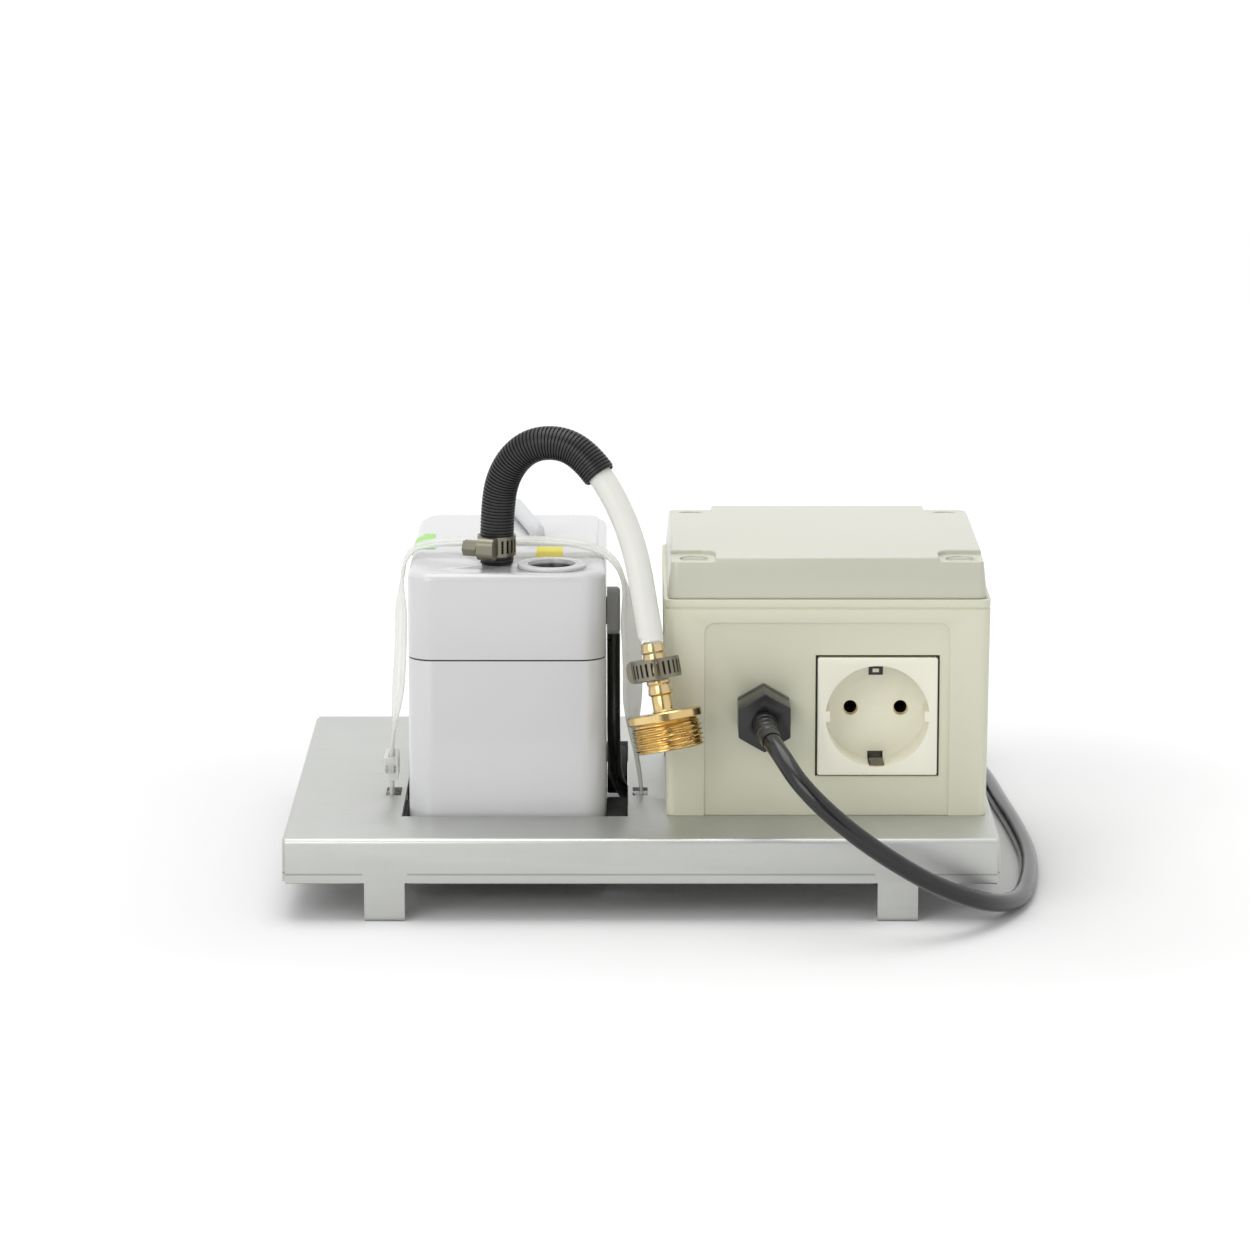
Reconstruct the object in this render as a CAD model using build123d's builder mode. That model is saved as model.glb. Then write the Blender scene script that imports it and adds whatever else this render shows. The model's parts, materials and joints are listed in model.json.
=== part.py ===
"""Condensate pump on a folded sheet base, with its wiring box, discharge hose and mains lead.

Millimetres. Origin at the middle of the footprint, on the floor; +Z up, -Y is the front, +X right.
"""
import os
from math import atan2, cos, degrees, pi, radians, sin, sqrt, tan

from build123d import *

os.makedirs("parts", exist_ok=True)

# base: one folded sheet standing on four tabs
sheet = 1.5
base_width = 266.6
base_depth = 218.0
base_top = 31.5
flange_drop = 17.5
return_lip = 8.0
tab_width = 15.0
tab_inset = 30.5
foot_length = 9.0
bend_radius = 2.0
corner_gap = 1.2
tab_relief = 1.2
bend_lap = 4.0

# pump housing: it hangs through the base and stands on a cradle
pump_width = 74.6
pump_depth = 128.0
pump_x = -50.5
pump_y = -6.0
pump_bottom = 8.0
pump_seam = 91.0
pump_top = 124.0
pump_corner = 10.0
pump_wall = 2.5
tank_floor = 3.0
tank_round = 3.0
seam_gap = 0.6
rim_tongue = 3.0
fit_gap = 0.3
slip_gap = 0.1
press_gap = 0.02
step_height = 1.0
step_depth = 60.0
cover_round = 3.0
step_margin = 0.4
step_round = 0.6
divider_wall = 2.0
cut_gap_left = 2.5
cut_gap_right = 8.3
cut_gap_ends = 2.0
cradle_sheet = 1.2
cradle_margin = 2.3
cradle_flange = 12.0
cradle_bend = 1.4

# inlet port and discharge
inlet_x = -33.7
inlet_setback = 17.0
inlet_bore = 18.0
inlet_wall = 2.5
inlet_collar = 26.0
inlet_collar_height = 1.2
inlet_collar_round = 0.5
riser_x = -54.5
riser_setback = 21.0
riser_bore = 6.0
riser_wall = 1.5
riser_height = 98.0
valve_outer = 16.0
valve_chamber = 10.0
valve_bottom = 94.0
valve_seat_bore = 5.0
valve_seat_height = 102.0
valve_top = 118.0
ball_diameter = 7.0
spigot_bore = 4.0
spigot_barb_length = 15.0
spigot_neck = 11.0
spigot_flange = 1.5
spigot_seat = 6.0
barb_lead = 2.0
barb_taper = 0.6
vent_x = -40.0
vent_y = -2.0
vent_outer = 6.0
vent_wall = 1.0
vent_bend = 3.2
vent_lean = 9.5
vent_end_inset = 2.0

# motor and centrifugal pump
motor_y = 16.0
deck_height = 68.0
deck_thickness = 3.0
post_diameter = 9.0
post_inset = 4.5
post_hole_depth = 14.0
deck_screw_bore = 2.6
deck_screw_hole = 3.2
deck_screw_reach = 10.0
core_width = 48.0
core_front = 18.0
core_back = 28.0
core_lift = 11.0
core_height = 20.0
rotor_bore = 25.0
rotor_gap = 0.4
limb_depth = 8.0
window_depth = 6.0
coil_width = 28.0
coil_wrap = 5.8
coil_corner = 3.0
coil_gap = 1.0
coil_slack = 0.2
shaft_diameter = 5.0
running_gap = 0.05
shaft_bottom = 19.0
shaft_end = 10.0
bush_outer = 9.0
bush_height = 7.0
bush_boss_wall = 1.5
bracket_width = 16.0
bracket_sheet = 3.0
bracket_screw_spacing = 38.0
pillar_diameter = 7.0
shaft_overrun = 2.0
rotor_overhang = 1.0
motor_screw = 3.0
screw_head = 5.6
screw_head_height = 2.0
chamber_bottom = 17.0
chamber_height = 14.0
chamber_outer = 46.0
chamber_wall = 3.0
chamber_roof = 2.5
chamber_cover_thick = 2.0
outlet_rise = 6.5
column_outer = 16.0
column_bore = 10.0
column_flange = 6.0
column_flange_thick = 2.0
eye_diameter = 14.0
impeller_diameter = 34.0
impeller_disc = 1.6
hub_wall = 2.2
hub_rise = 1.0
vane_height = 4.5
vane_count = 6
vane_thick = 1.2
vane_root = 1.0
vane_end_gap = 0.6
vane_sweep = 26.0
vane_middle = 0.64
vane_bow = 0.18

# float switch
float_x = -72.0
float_setback = 30.0
float_outer = 22.0
float_bottom = 24.0
float_height = 20.0
float_stem = 6.0
float_stem_gap = 0.4
float_clip_height = 2.0
float_clip_lip = 2.5
stem_tip = 3.0
stem_head = 4.0
float_edge = 1.0
magnet_outer = 14.0
magnet_height = 4.0

# tie-down strap
strap_y = -30.0
strap_width = 13.0
strap_thick = 1.6
slot_length = 13.8
slot_width = 5.8
slot_offset = 4.7
buckle_height = 9.0
buckle_z = 42.0
buckle_wall = 1.9
buckle_gap = 0.3
buckle_slot_width = 0.9
buckle_slot_height = 3.1
buckle_slot_depth = 1.2
buckle_edge = 0.4
fold_radius = 3.0

# discharge hose in its ribbed sleeve
hose_outer = 9.5
hose_bore = 6.5
sleeve_outer = 12.8
barb_gap = 0.05
clamp_width = 7.6
clamp_band = 0.8
clamp_gap = 0.1
clamp_height = 131.6
clamp_turn = 20.0
clamp_slot_width = 0.9
clamp_slot_length = 5.0
clamp_slot_pitch = 2.0
clamp_housing = 8.6
clamp_housing_length = 6.5
clamp_housing_wall = 1.1
clamp_end_wall = 0.8
worm_diameter = 4.2
worm_gap = 0.3
worm_head = 5.6
worm_head_length = 5.5
worm_slot_width = 0.9
worm_slot_depth = 1.2
tail_diameter = 18.2
tail_sweep = 195.0

# brass fitting at the hose's end, hanging on the hose; its axis leans as the hose does
fitting_x = 8.8
fitting_y = -88.6
fitting_z = 73.6
fitting_up = Vector(-0.174, 0.190, 0.966)
thread_diameter = 26.44
thread_length = 11.0
flange_diameter = 28.0
flange_thick = 3.4
fitting_bore = 5.0
stem_diameter = 7.4
hose_end_height = 8.0
barb_length = 20.5
lower_clamp_height = 18.0

# wiring box
box_width = 122.6
box_depth = 120.0
box_x = 69.9
box_y = -12.0
box_height = 83.1
box_wall = 2.5
box_floor = 3.0
box_corner = 4.0
box_draft = 0.62
collar_height = 3.0
panel_width = 92.0
panel_height = 74.2
panel_recess = 0.9
panel_corner = 4.0
groove_depth = 0.55
groove_width = 0.6
boss_inset = 11.3
boss_diameter = 9.0
boss_hole_depth = 24.0
box_screw_x = 76.0
box_screw_y = 96.0
box_screw_head = 7.2
box_screw_head_height = 2.4
gasket_thick = 0.4
gasket_inset = 0.8
lid_width = 119.9
lid_depth = 117.3
lid_height = 15.0
lid_draft = 6.0
lid_wall = 2.4
lid_notch = 16.5
lid_notch_drop = 1.8
lid_notch_corner = 6.0
lid_edge = 0.8
lid_sleeve_wall = 2.0
lid_screw_head = 10.0
lid_screw_shank = 5.0
lid_screw_sink = 3.6
lid_screw_grip = 9.0
lid_screw_drop = 0.4
lid_screw_edge = 0.6
lid_screw_slot = 1.6
lid_screw_slot_depth = 1.4

# socket outlet in the box's front
socket_x = 88.9
socket_z = 70.0
socket_size = 45.0
socket_gap = 0.8
socket_proud = 2.0
socket_rim = 4.0
recess_diameter = 39.0
recess_depth = 17.0
recess_wall = 2.0
pin_spacing = 19.0
pin_hole = 5.8
pin_gap = 0.05
contact_wall = 0.8
contact_length = 14.0
earth_width = 5.0
earth_sheet = 0.8
earth_lip = 4.0
earth_nip = 8.5
earth_shank = 14.0
earth_bow = 2.6
earth_bend = 0.9
earth_slot_start = 3.0
earth_slot_height = 4.4
key_width = 4.0
key_depth = 1.7
socket_corner = 0.8
socket_edge = 0.4
frame_margin = 4.0
frame_thick = 2.4
frame_gap = 0.6
frame_leg = 4.0

# cable gland
gland_x = 46.0
gland_z = 71.6
gland_thread = 16.0
gland_flats = 19.4
gland_flange = 5.0
gland_nut_length = 15.5
gland_nut_hole = 7.6
lead_diameter = 7.0
locknut_flats = 22.0
locknut_thick = 4.0
gland_edge = 0.5
seal_outer = 11.0
nut_gap = 0.3
thread_reach = 10.0
thread_step = 1.0
nose_radius = 9.9
nose_tip_radius = 6.4
nose_height = 0.47

# mains lead, put-away coil and plug
coil_x = 92.0
coil_y = 165.0
coil_mean = 78.4
coil_layers = 2
coil_rows = 3
coil_turns = 4
coil_exit_angle = 60.0
plug_tilt = 12.0
plug_front = 37.0
plug_length = 34.0
plug_pin = 4.8
plug_pin_length = 19.0
plug_sleeve = 14.0
plug_sleeve_start = 5.0
plug_sleeve_end = 6.5
plug_waist = 9.5
plug_shoulder = 8.0
plug_flare = 14.0

# pump lead, held between the pump's side and the box's floor
pump_lead_diameter = 5.0
elbow_width = 8.5
elbow_height = 17.6
elbow_z = 102.6
elbow_plug_width = 6.0
elbow_plug_height = 10.0
box_entry_x = 68.0
box_entry_y = 4.0
entry_margin = 2.5
grommet_foot = 1.6
grommet_lip = 2.0
grommet_rise = 5.0
elbow_corner = 2.0
elbow_edge = 1.5

# terminal block on the box's floor
block_poles = 6
block_pitch = 10.3
block_foot_depth = 18.0
block_foot_height = 8.0
block_tower_depth = 12.0
block_tower_height = 9.0
block_tower_gap = 1.2
block_hole = 3.8
block_hole_depth = 6.0
block_offset = 12.0
block_y = 21.0

pump_front = pump_y - pump_depth / 2
pump_back = pump_y + pump_depth / 2
pump_right = pump_x + pump_width / 2
box_front = box_y - box_depth / 2
box_top = base_top + box_height
motor_x = pump_x
deck_top = deck_height + deck_thickness
inlet_y = pump_front + inlet_setback
riser_y = pump_front + riser_setback
float_y = pump_front + float_setback
core_bottom = deck_top + core_lift
core_top = core_bottom + core_height
shaft_top = core_top + shaft_end
entry_radius = pump_lead_diameter / 2 + entry_margin
block_floor = base_top + box_floor


def finish(part, name):
    part.part.label = name
    export_step(part.part, f"parts/{name}.step")


def bend_radii(points):
    # each bend takes up to 0.45 of the shorter of its two runs
    runs = [Vector(*b) - Vector(*a) for a, b in zip(points, points[1:])]
    return [0.45 * min(a.length, b.length) / tan(radians(a.get_angle(b)) / 2)
            for a, b in zip(runs, runs[1:])]


def tube(points, outer, bore=0.0, radii=None, name=""):
    # straight runs joined by tangent arcs, swept with a round section
    radii = radii or bend_radii(points)
    with BuildPart() as piece:
        with BuildLine() as route:
            FilletPolyline(*points, radius=radii)
        with BuildSketch(route.line ^ 0):
            Circle(outer / 2)
            if bore:
                Circle(bore / 2, mode=Mode.SUBTRACT)
        sweep()
    section = pi * (outer**2 - bore**2) / 4
    length = route.wire().length
    print(f"{name}: length {length:.1f} mm, volume / (section x length) "
          f"{piece.part.volume / (section * length):.4f}, "
          f"radii {[round(r, 1) for r in radii]}")
    return piece


# ---- base ----------------------------------------------------------------------------------
half_width = base_width / 2
half_depth = base_depth / 2
middle = sheet / 2
flange_bottom = base_top - flange_drop
tab_centre = half_width - tab_inset - tab_width / 2
cut_x = pump_x + (cut_gap_right - cut_gap_left) / 2
cut_width = pump_width + cut_gap_left + cut_gap_right
cut_depth = pump_depth + 2 * cut_gap_ends
slot_centre = cut_width / 2 + slot_offset


def folded(points, plane):
    # section of the sheet bent along points, which run through the middle of its thickness
    with BuildSketch(plane, mode=Mode.PRIVATE) as section:
        with BuildLine() as bends:
            FilletPolyline(*points, radius=bend_radius - middle)
        trace(bends.line, line_width=sheet)
    return section.sketch


with BuildPart() as base_plate:
    with BuildSketch(Plane.XY.offset(base_top - sheet)):
        Rectangle(base_width - 2 * bend_radius, base_depth - 2 * bend_radius)
        with Locations((cut_x, pump_y)):
            Rectangle(cut_width, cut_depth, mode=Mode.SUBTRACT)
        with Locations((cut_x - slot_centre, strap_y), (cut_x + slot_centre, strap_y)):
            Rectangle(slot_width, slot_length, mode=Mode.SUBTRACT)
        with Locations((box_entry_x, box_entry_y)):
            Circle(entry_radius, mode=Mode.SUBTRACT)
    extrude(amount=sheet)
    edge = half_depth - middle
    side = half_width - middle
    top_line = base_top - middle
    lip_line = flange_bottom + middle
    tab_outer = tab_centre + tab_width / 2
    tab_inner = tab_centre - tab_width / 2
    end_run = half_width - corner_gap - tab_outer - tab_relief
    for facing in (-1, 1):
        flange = [(facing * (half_depth - bend_radius - bend_lap), top_line), (facing * edge, top_line),
                  (facing * edge, lip_line)]
        lip = [*flange, (facing * (edge - return_lip), lip_line)]
        extrude(folded(flange, Plane.YZ), amount=half_width - corner_gap, both=True)
        extrude(folded(lip, Plane.YZ), amount=tab_inner - tab_relief, both=True)
        for hand in (-1, 1):
            end_centre = hand * (tab_outer + tab_relief + end_run / 2)
            extrude(folded(lip, Plane.YZ.offset(end_centre)), amount=end_run / 2, both=True)
            tab = [(facing * edge, top_line - bend_lap), (facing * edge, middle),
                   (facing * (edge - foot_length), middle)]
            extrude(folded(tab, Plane.YZ.offset(hand * tab_centre)), amount=tab_width / 2,
                    both=True)
    for hand in (-1, 1):
        skirt = [(hand * (half_width - bend_radius - bend_lap), top_line), (hand * side, top_line),
                 (hand * side, lip_line)]
        extrude(folded(skirt, Plane.XZ), amount=half_depth - bend_radius - corner_gap, both=True)
finish(base_plate, "base_plate")

# the cradle is spot-welded under the base at the front and back of the cut-out
cradle_width = pump_width - 2 * cradle_margin
cradle_end = cut_depth / 2 + cradle_sheet / 2
cradle_under = base_top - sheet - cradle_sheet / 2
cradle_low = pump_bottom - cradle_sheet / 2
with BuildPart() as pump_cradle:
    with BuildSketch(Plane.YZ.offset(pump_x)):
        with BuildLine() as cradle_line:
            FilletPolyline((pump_y - cradle_end - cradle_flange, cradle_under),
                           (pump_y - cradle_end, cradle_under), (pump_y - cradle_end, cradle_low),
                           (pump_y + cradle_end, cradle_low), (pump_y + cradle_end, cradle_under),
                           (pump_y + cradle_end + cradle_flange, cradle_under),
                           radius=cradle_bend)
        trace(cradle_line.line, line_width=cradle_sheet)
    extrude(amount=cradle_width / 2, both=True)
finish(pump_cradle, "pump_cradle")

# ---- pump housing ----------------------------------------------------------------------------
inner_width = pump_width - 2 * pump_wall
inner_depth = pump_depth - 2 * pump_wall
inner_corner = pump_corner - pump_wall
tongue_wall = pump_wall / 2
post_x = inner_width / 2 - post_inset
post_y = inner_depth / 2 - post_inset


def pump_outline(inset, mode=Mode.ADD):
    with Locations((pump_x, pump_y)):
        RectangleRounded(pump_width - 2 * inset, pump_depth - 2 * inset, pump_corner - inset,
                         mode=mode)


with BuildPart() as pump_tank:
    with BuildSketch(Plane.XY.offset(pump_bottom)):
        pump_outline(0)
    extrude(amount=pump_seam - seam_gap / 2 - pump_bottom)
    fillet(pump_tank.edges().group_by(Axis.Z)[0], tank_round)
    with BuildSketch(Plane.XY.offset(pump_bottom + tank_floor)):
        pump_outline(pump_wall)
    extrude(amount=pump_seam - pump_bottom, mode=Mode.SUBTRACT)
    # tongue that locates the cover
    with BuildSketch(Plane.XY.offset(pump_seam - seam_gap / 2)):
        pump_outline(tongue_wall + slip_gap)
        pump_outline(pump_wall, mode=Mode.SUBTRACT)
    extrude(amount=rim_tongue)
    with BuildSketch(Plane.XY.offset(pump_bottom + tank_floor)):
        with Locations((pump_x, pump_y)):
            with GridLocations(2 * post_x, 2 * post_y, 2, 2):
                Circle(post_diameter / 2)
    extrude(amount=deck_height - pump_bottom - tank_floor)
    with BuildSketch(Plane.XY.offset(deck_height)):
        with Locations((pump_x, pump_y)):
            with GridLocations(2 * post_x, 2 * post_y, 2, 2):
                Circle(deck_screw_bore / 2)
    extrude(amount=-post_hole_depth, mode=Mode.SUBTRACT)
finish(pump_tank, "pump_tank")

with BuildPart() as tank_seal:
    with BuildSketch(Plane.XY.offset(pump_seam - seam_gap / 2)):
        pump_outline(seam_gap)
        pump_outline(tongue_wall + slip_gap, mode=Mode.SUBTRACT)
    extrude(amount=seam_gap)
finish(tank_seal, "tank_seal")

inlet_outer = inlet_bore + 2 * inlet_wall
step_y = pump_front + step_depth
with BuildPart() as pump_cover:
    with BuildSketch(Plane.XY.offset(pump_seam + seam_gap / 2)):
        pump_outline(0)
    extrude(amount=pump_top - pump_seam - seam_gap / 2)
    fillet(pump_cover.edges().group_by(Axis.Z)[-1], cover_round)
    # raised deck over the motor
    with BuildSketch(Plane.XY.offset(pump_top)):
        pump_outline(cover_round + step_margin)
        with Locations((pump_x, step_y)):
            Rectangle(2 * pump_width, 2 * pump_depth, align=(Align.CENTER, Align.MAX),
                      mode=Mode.SUBTRACT)
    extrude(amount=step_height)
    fillet(pump_cover.edges().group_by(Axis.Z)[-1], step_round)
    with BuildSketch(Plane.XY.offset(pump_seam)):
        pump_outline(pump_wall)
    extrude(amount=pump_top - pump_wall - pump_seam, mode=Mode.SUBTRACT)
    # rebate for the tank's tongue
    with BuildSketch(Plane.XY.offset(pump_seam)):
        pump_outline(tongue_wall)
    extrude(amount=rim_tongue + fit_gap, mode=Mode.SUBTRACT)
    # wall between the wet front and the motor
    with BuildSketch(Plane.XY.offset(deck_top + fit_gap)):
        with Locations((pump_x, step_y)):
            Rectangle(inner_width, divider_wall)
    extrude(until=Until.NEXT)
    with BuildSketch(Plane.XY.offset(pump_top + 2 * step_height)):
        with Locations((inlet_x, inlet_y)):
            Circle(inlet_outer / 2 + slip_gap)
        with Locations((riser_x, riser_y)):
            Circle(spigot_neck / 2 + slip_gap)
        with Locations((vent_x, vent_y)):
            Circle(vent_outer / 2 + running_gap)
    extrude(amount=-pump_wall - 3 * step_height, mode=Mode.SUBTRACT)
    with BuildSketch(Plane.YZ.offset(pump_right)):
        with Locations((strap_y, elbow_z)):
            Rectangle(elbow_plug_width, elbow_plug_height)
    extrude(amount=-2 * pump_wall, mode=Mode.SUBTRACT)
finish(pump_cover, "pump_cover")

with BuildPart() as inlet_tube:
    with BuildSketch(Plane.XY.offset(deck_top + fit_gap)):
        with Locations((inlet_x, inlet_y)):
            Circle(inlet_outer / 2)
    extrude(amount=pump_top - deck_top - fit_gap)
    with BuildSketch(Plane.XY.offset(pump_top)):
        with Locations((inlet_x, inlet_y)):
            Circle(inlet_collar / 2)
    extrude(amount=inlet_collar_height)
    fillet(inlet_tube.edges().group_by(Axis.Z)[-1], inlet_collar_round)
    with BuildSketch(Plane.XY.offset(deck_top)):
        with Locations((inlet_x, inlet_y)):
            Circle(inlet_bore / 2)
    extrude(amount=pump_top, mode=Mode.SUBTRACT)
finish(inlet_tube, "inlet_tube")

# soft tube that leaves the cover upright and lies back over its top
vent_rest = pump_top + step_height + vent_outer / 2 + fit_gap
with BuildPart() as vent_tube:
    with BuildLine() as vent_line:
        FilletPolyline((vent_x, vent_y, pump_top - pump_wall + step_height),
                       (vent_x, vent_y, vent_rest),
                       (vent_x - vent_lean, pump_back - vent_end_inset, vent_rest),
                       radius=vent_bend)
    with BuildSketch(vent_line.line ^ 0):
        Circle(vent_outer / 2)
        Circle(vent_outer / 2 - vent_wall, mode=Mode.SUBTRACT)
    sweep()
finish(vent_tube, "vent_tube")

# ---- deck, motor and pump chamber ------------------------------------------------------------
riser_outer = riser_bore + 2 * riser_wall
with BuildPart() as motor_deck:
    with BuildSketch(Plane.XY.offset(deck_height)):
        pump_outline(pump_wall + fit_gap)
        with Locations((motor_x, motor_y)):
            Circle(column_bore / 2, mode=Mode.SUBTRACT)
        with Locations((inlet_x, inlet_y)):
            Circle(inlet_bore / 2, mode=Mode.SUBTRACT)
        with Locations((riser_x, riser_y)):
            Circle(riser_outer / 2 + slip_gap, mode=Mode.SUBTRACT)
        with Locations((float_x, float_y)):
            Circle(float_stem / 2 + slip_gap, mode=Mode.SUBTRACT)
        with Locations((pump_x, pump_y)):
            with GridLocations(2 * post_x, 2 * post_y, 2, 2):
                Circle(deck_screw_hole / 2, mode=Mode.SUBTRACT)
        with Locations((motor_x, motor_y)):
            with GridLocations(bracket_screw_spacing, 1, 2, 1):
                Circle(motor_screw / 2 + running_gap, mode=Mode.SUBTRACT)
    extrude(amount=deck_thickness)
finish(motor_deck, "motor_deck")

window_start = motor_y + core_back - limb_depth - window_depth
with BuildPart() as motor_core:
    with BuildSketch(Plane.XY.offset(core_bottom)):
        with Locations((motor_x, motor_y - core_front)):
            Rectangle(core_width, core_front + core_back, align=(Align.CENTER, Align.MIN))
        with Locations((motor_x, motor_y)):
            Circle(rotor_bore / 2, mode=Mode.SUBTRACT)
            with GridLocations(bracket_screw_spacing, 1, 2, 1):
                Circle(motor_screw / 2 + running_gap, mode=Mode.SUBTRACT)
        with Locations((motor_x, window_start)):
            Rectangle(coil_width + 2 * coil_gap, window_depth, align=(Align.CENTER, Align.MIN),
                      mode=Mode.SUBTRACT)
    extrude(amount=core_height)
finish(motor_core, "motor_core")

limb_start = motor_y + core_back - limb_depth
with BuildPart() as motor_coil:
    with BuildSketch(Plane.YZ.offset(motor_x)):
        with Locations((limb_start + limb_depth / 2, core_bottom + core_height / 2)):
            RectangleRounded(limb_depth + 2 * coil_wrap - 2 * coil_slack, core_height + 2 * coil_wrap,
                             coil_corner)
            Rectangle(limb_depth + 2 * slip_gap, core_height + 2 * slip_gap, mode=Mode.SUBTRACT)
    extrude(amount=coil_width / 2, both=True)
finish(motor_coil, "motor_coil")


def bracket(seat, rise, bush_side):
    # plate across the core on two pillars, with a boss for the bush on the rotor's side
    with BuildPart() as piece:
        with BuildSketch(Plane.XY.offset(seat)):
            with Locations((motor_x, motor_y)):
                SlotOverall(bracket_screw_spacing + bracket_width, bracket_width)
        extrude(amount=bracket_sheet)
        pillar_start = seat + bracket_sheet if bush_side > 0 else seat
        with BuildSketch(Plane.XY.offset(pillar_start)):
            with Locations((motor_x, motor_y)):
                with GridLocations(bracket_screw_spacing, 1, 2, 1):
                    Circle(pillar_diameter / 2)
        extrude(amount=bush_side * rise)
        with BuildSketch(Plane.XY.offset(pillar_start)):
            with Locations((motor_x, motor_y)):
                Circle(bush_outer / 2 + bush_boss_wall)
        extrude(amount=bush_side * (bush_height - bracket_sheet))
        with BuildSketch(Plane.XY.offset(seat)):
            with Locations((motor_x, motor_y)):
                Circle(bush_outer / 2)
                with GridLocations(bracket_screw_spacing, 1, 2, 1):
                    Circle(motor_screw / 2 + running_gap)
        extrude(amount=2 * core_height, both=True, mode=Mode.SUBTRACT)
    return piece


def bush(bottom):
    with BuildPart() as piece:
        with BuildSketch(Plane.XY.offset(bottom)):
            with Locations((motor_x, motor_y)):
                Circle(bush_outer / 2 - press_gap)
                Circle(shaft_diameter / 2 + running_gap, mode=Mode.SUBTRACT)
        extrude(amount=bush_height)
    return piece


lower_rise = core_bottom - deck_top - bracket_sheet
upper_seat = shaft_top - bracket_sheet - shaft_overrun
upper_rise = upper_seat - core_top
with BuildPart() as motor_brackets:
    add(bracket(deck_top, lower_rise, 1))
    add(bracket(upper_seat, upper_rise, -1))
finish(motor_brackets, "motor_brackets")

with BuildPart() as shaft_bushes:
    add(bush(deck_top))
    add(bush(upper_seat + bracket_sheet - bush_height))
finish(shaft_bushes, "shaft_bushes")

# four screws hold the deck on its posts, two long ones clamp the brackets to the core
with BuildPart() as pump_screws:
    with BuildSketch(Plane.XY.offset(deck_top)):
        with Locations((pump_x, pump_y)):
            with GridLocations(2 * post_x, 2 * post_y, 2, 2):
                Circle(screw_head / 2)
    extrude(amount=screw_head_height)
    with BuildSketch(Plane.XY.offset(deck_top)):
        with Locations((pump_x, pump_y)):
            with GridLocations(2 * post_x, 2 * post_y, 2, 2):
                Circle(deck_screw_bore / 2 - press_gap)
    extrude(amount=-deck_thickness - deck_screw_reach)
    with BuildSketch(Plane.XY.offset(upper_seat + bracket_sheet)):
        with Locations((motor_x, motor_y)):
            with GridLocations(bracket_screw_spacing, 1, 2, 1):
                Circle(screw_head / 2)
    extrude(amount=screw_head_height)
    with BuildSketch(Plane.XY.offset(upper_seat + bracket_sheet)):
        with Locations((motor_x, motor_y)):
            with GridLocations(bracket_screw_spacing, 1, 2, 1):
                Circle(motor_screw / 2)
    extrude(amount=deck_height - upper_seat - bracket_sheet)
finish(pump_screws, "pump_screws")

with BuildPart() as motor_rotor:
    with BuildSketch(Plane.XY.offset(core_bottom - rotor_overhang)):
        with Locations((motor_x, motor_y)):
            Circle(rotor_bore / 2 - rotor_gap)
            Circle(shaft_diameter / 2, mode=Mode.SUBTRACT)
    extrude(amount=core_height + 2 * rotor_overhang)
finish(motor_rotor, "motor_rotor")

with BuildPart() as pump_shaft:
    with BuildSketch(Plane.XY.offset(shaft_bottom)):
        with Locations((motor_x, motor_y)):
            Circle(shaft_diameter / 2)
    extrude(amount=shaft_top - shaft_bottom)
    chamfer(pump_shaft.edges().group_by(Axis.Z)[-1], 0.5)
finish(pump_shaft, "pump_shaft")

chamber_top = chamber_bottom + chamber_height
outlet_z = chamber_bottom + outlet_rise
outlet_offset = riser_x - motor_x
column_radius = column_outer / 2
with BuildPart() as pump_column:
    with BuildSketch(Plane.XZ.offset(-motor_y)):
        with BuildLine():
            Polyline((motor_x + column_bore / 2, deck_height),
                     (motor_x + column_radius + column_flange, deck_height),
                     (motor_x + column_radius + column_flange, deck_height - column_flange_thick),
                     (motor_x + column_radius, deck_height - column_flange_thick),
                     (motor_x + column_radius, chamber_top),
                     (motor_x + chamber_outer / 2, chamber_top),
                     (motor_x + chamber_outer / 2, chamber_bottom),
                     (motor_x + chamber_outer / 2 - chamber_wall, chamber_bottom),
                     (motor_x + chamber_outer / 2 - chamber_wall, chamber_top - chamber_roof),
                     (motor_x + column_bore / 2, chamber_top - chamber_roof), close=True)
        make_face()
    revolve(axis=Axis((motor_x, motor_y, 0), (0, 0, 1)))
    with BuildSketch(Plane.XZ.offset(-motor_y)):
        with Locations((riser_x, outlet_z)):
            Circle(riser_outer / 2 + running_gap)
    extrude(amount=chamber_outer, mode=Mode.SUBTRACT)
finish(pump_column, "pump_column")

with BuildPart() as chamber_cover:
    with BuildSketch(Plane.XY.offset(chamber_bottom - chamber_cover_thick)):
        with Locations((motor_x, motor_y)):
            Circle(chamber_outer / 2)
            Circle(eye_diameter / 2, mode=Mode.SUBTRACT)
    extrude(amount=chamber_cover_thick)
finish(chamber_cover, "chamber_cover")

# one backward-curved vane, an arc from the hub to the rim
vane_reach = impeller_diameter / 2 - vane_end_gap
vane_angle = radians(vane_sweep)
with BuildSketch() as vane:
    with BuildLine() as vane_line:
        ThreePointArc((shaft_diameter / 2 + vane_root, 0),
                      (vane_middle * vane_reach, vane_bow * vane_reach),
                      (vane_reach * cos(vane_angle), vane_reach * sin(vane_angle)))
    trace(vane_line.line, line_width=vane_thick)

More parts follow.
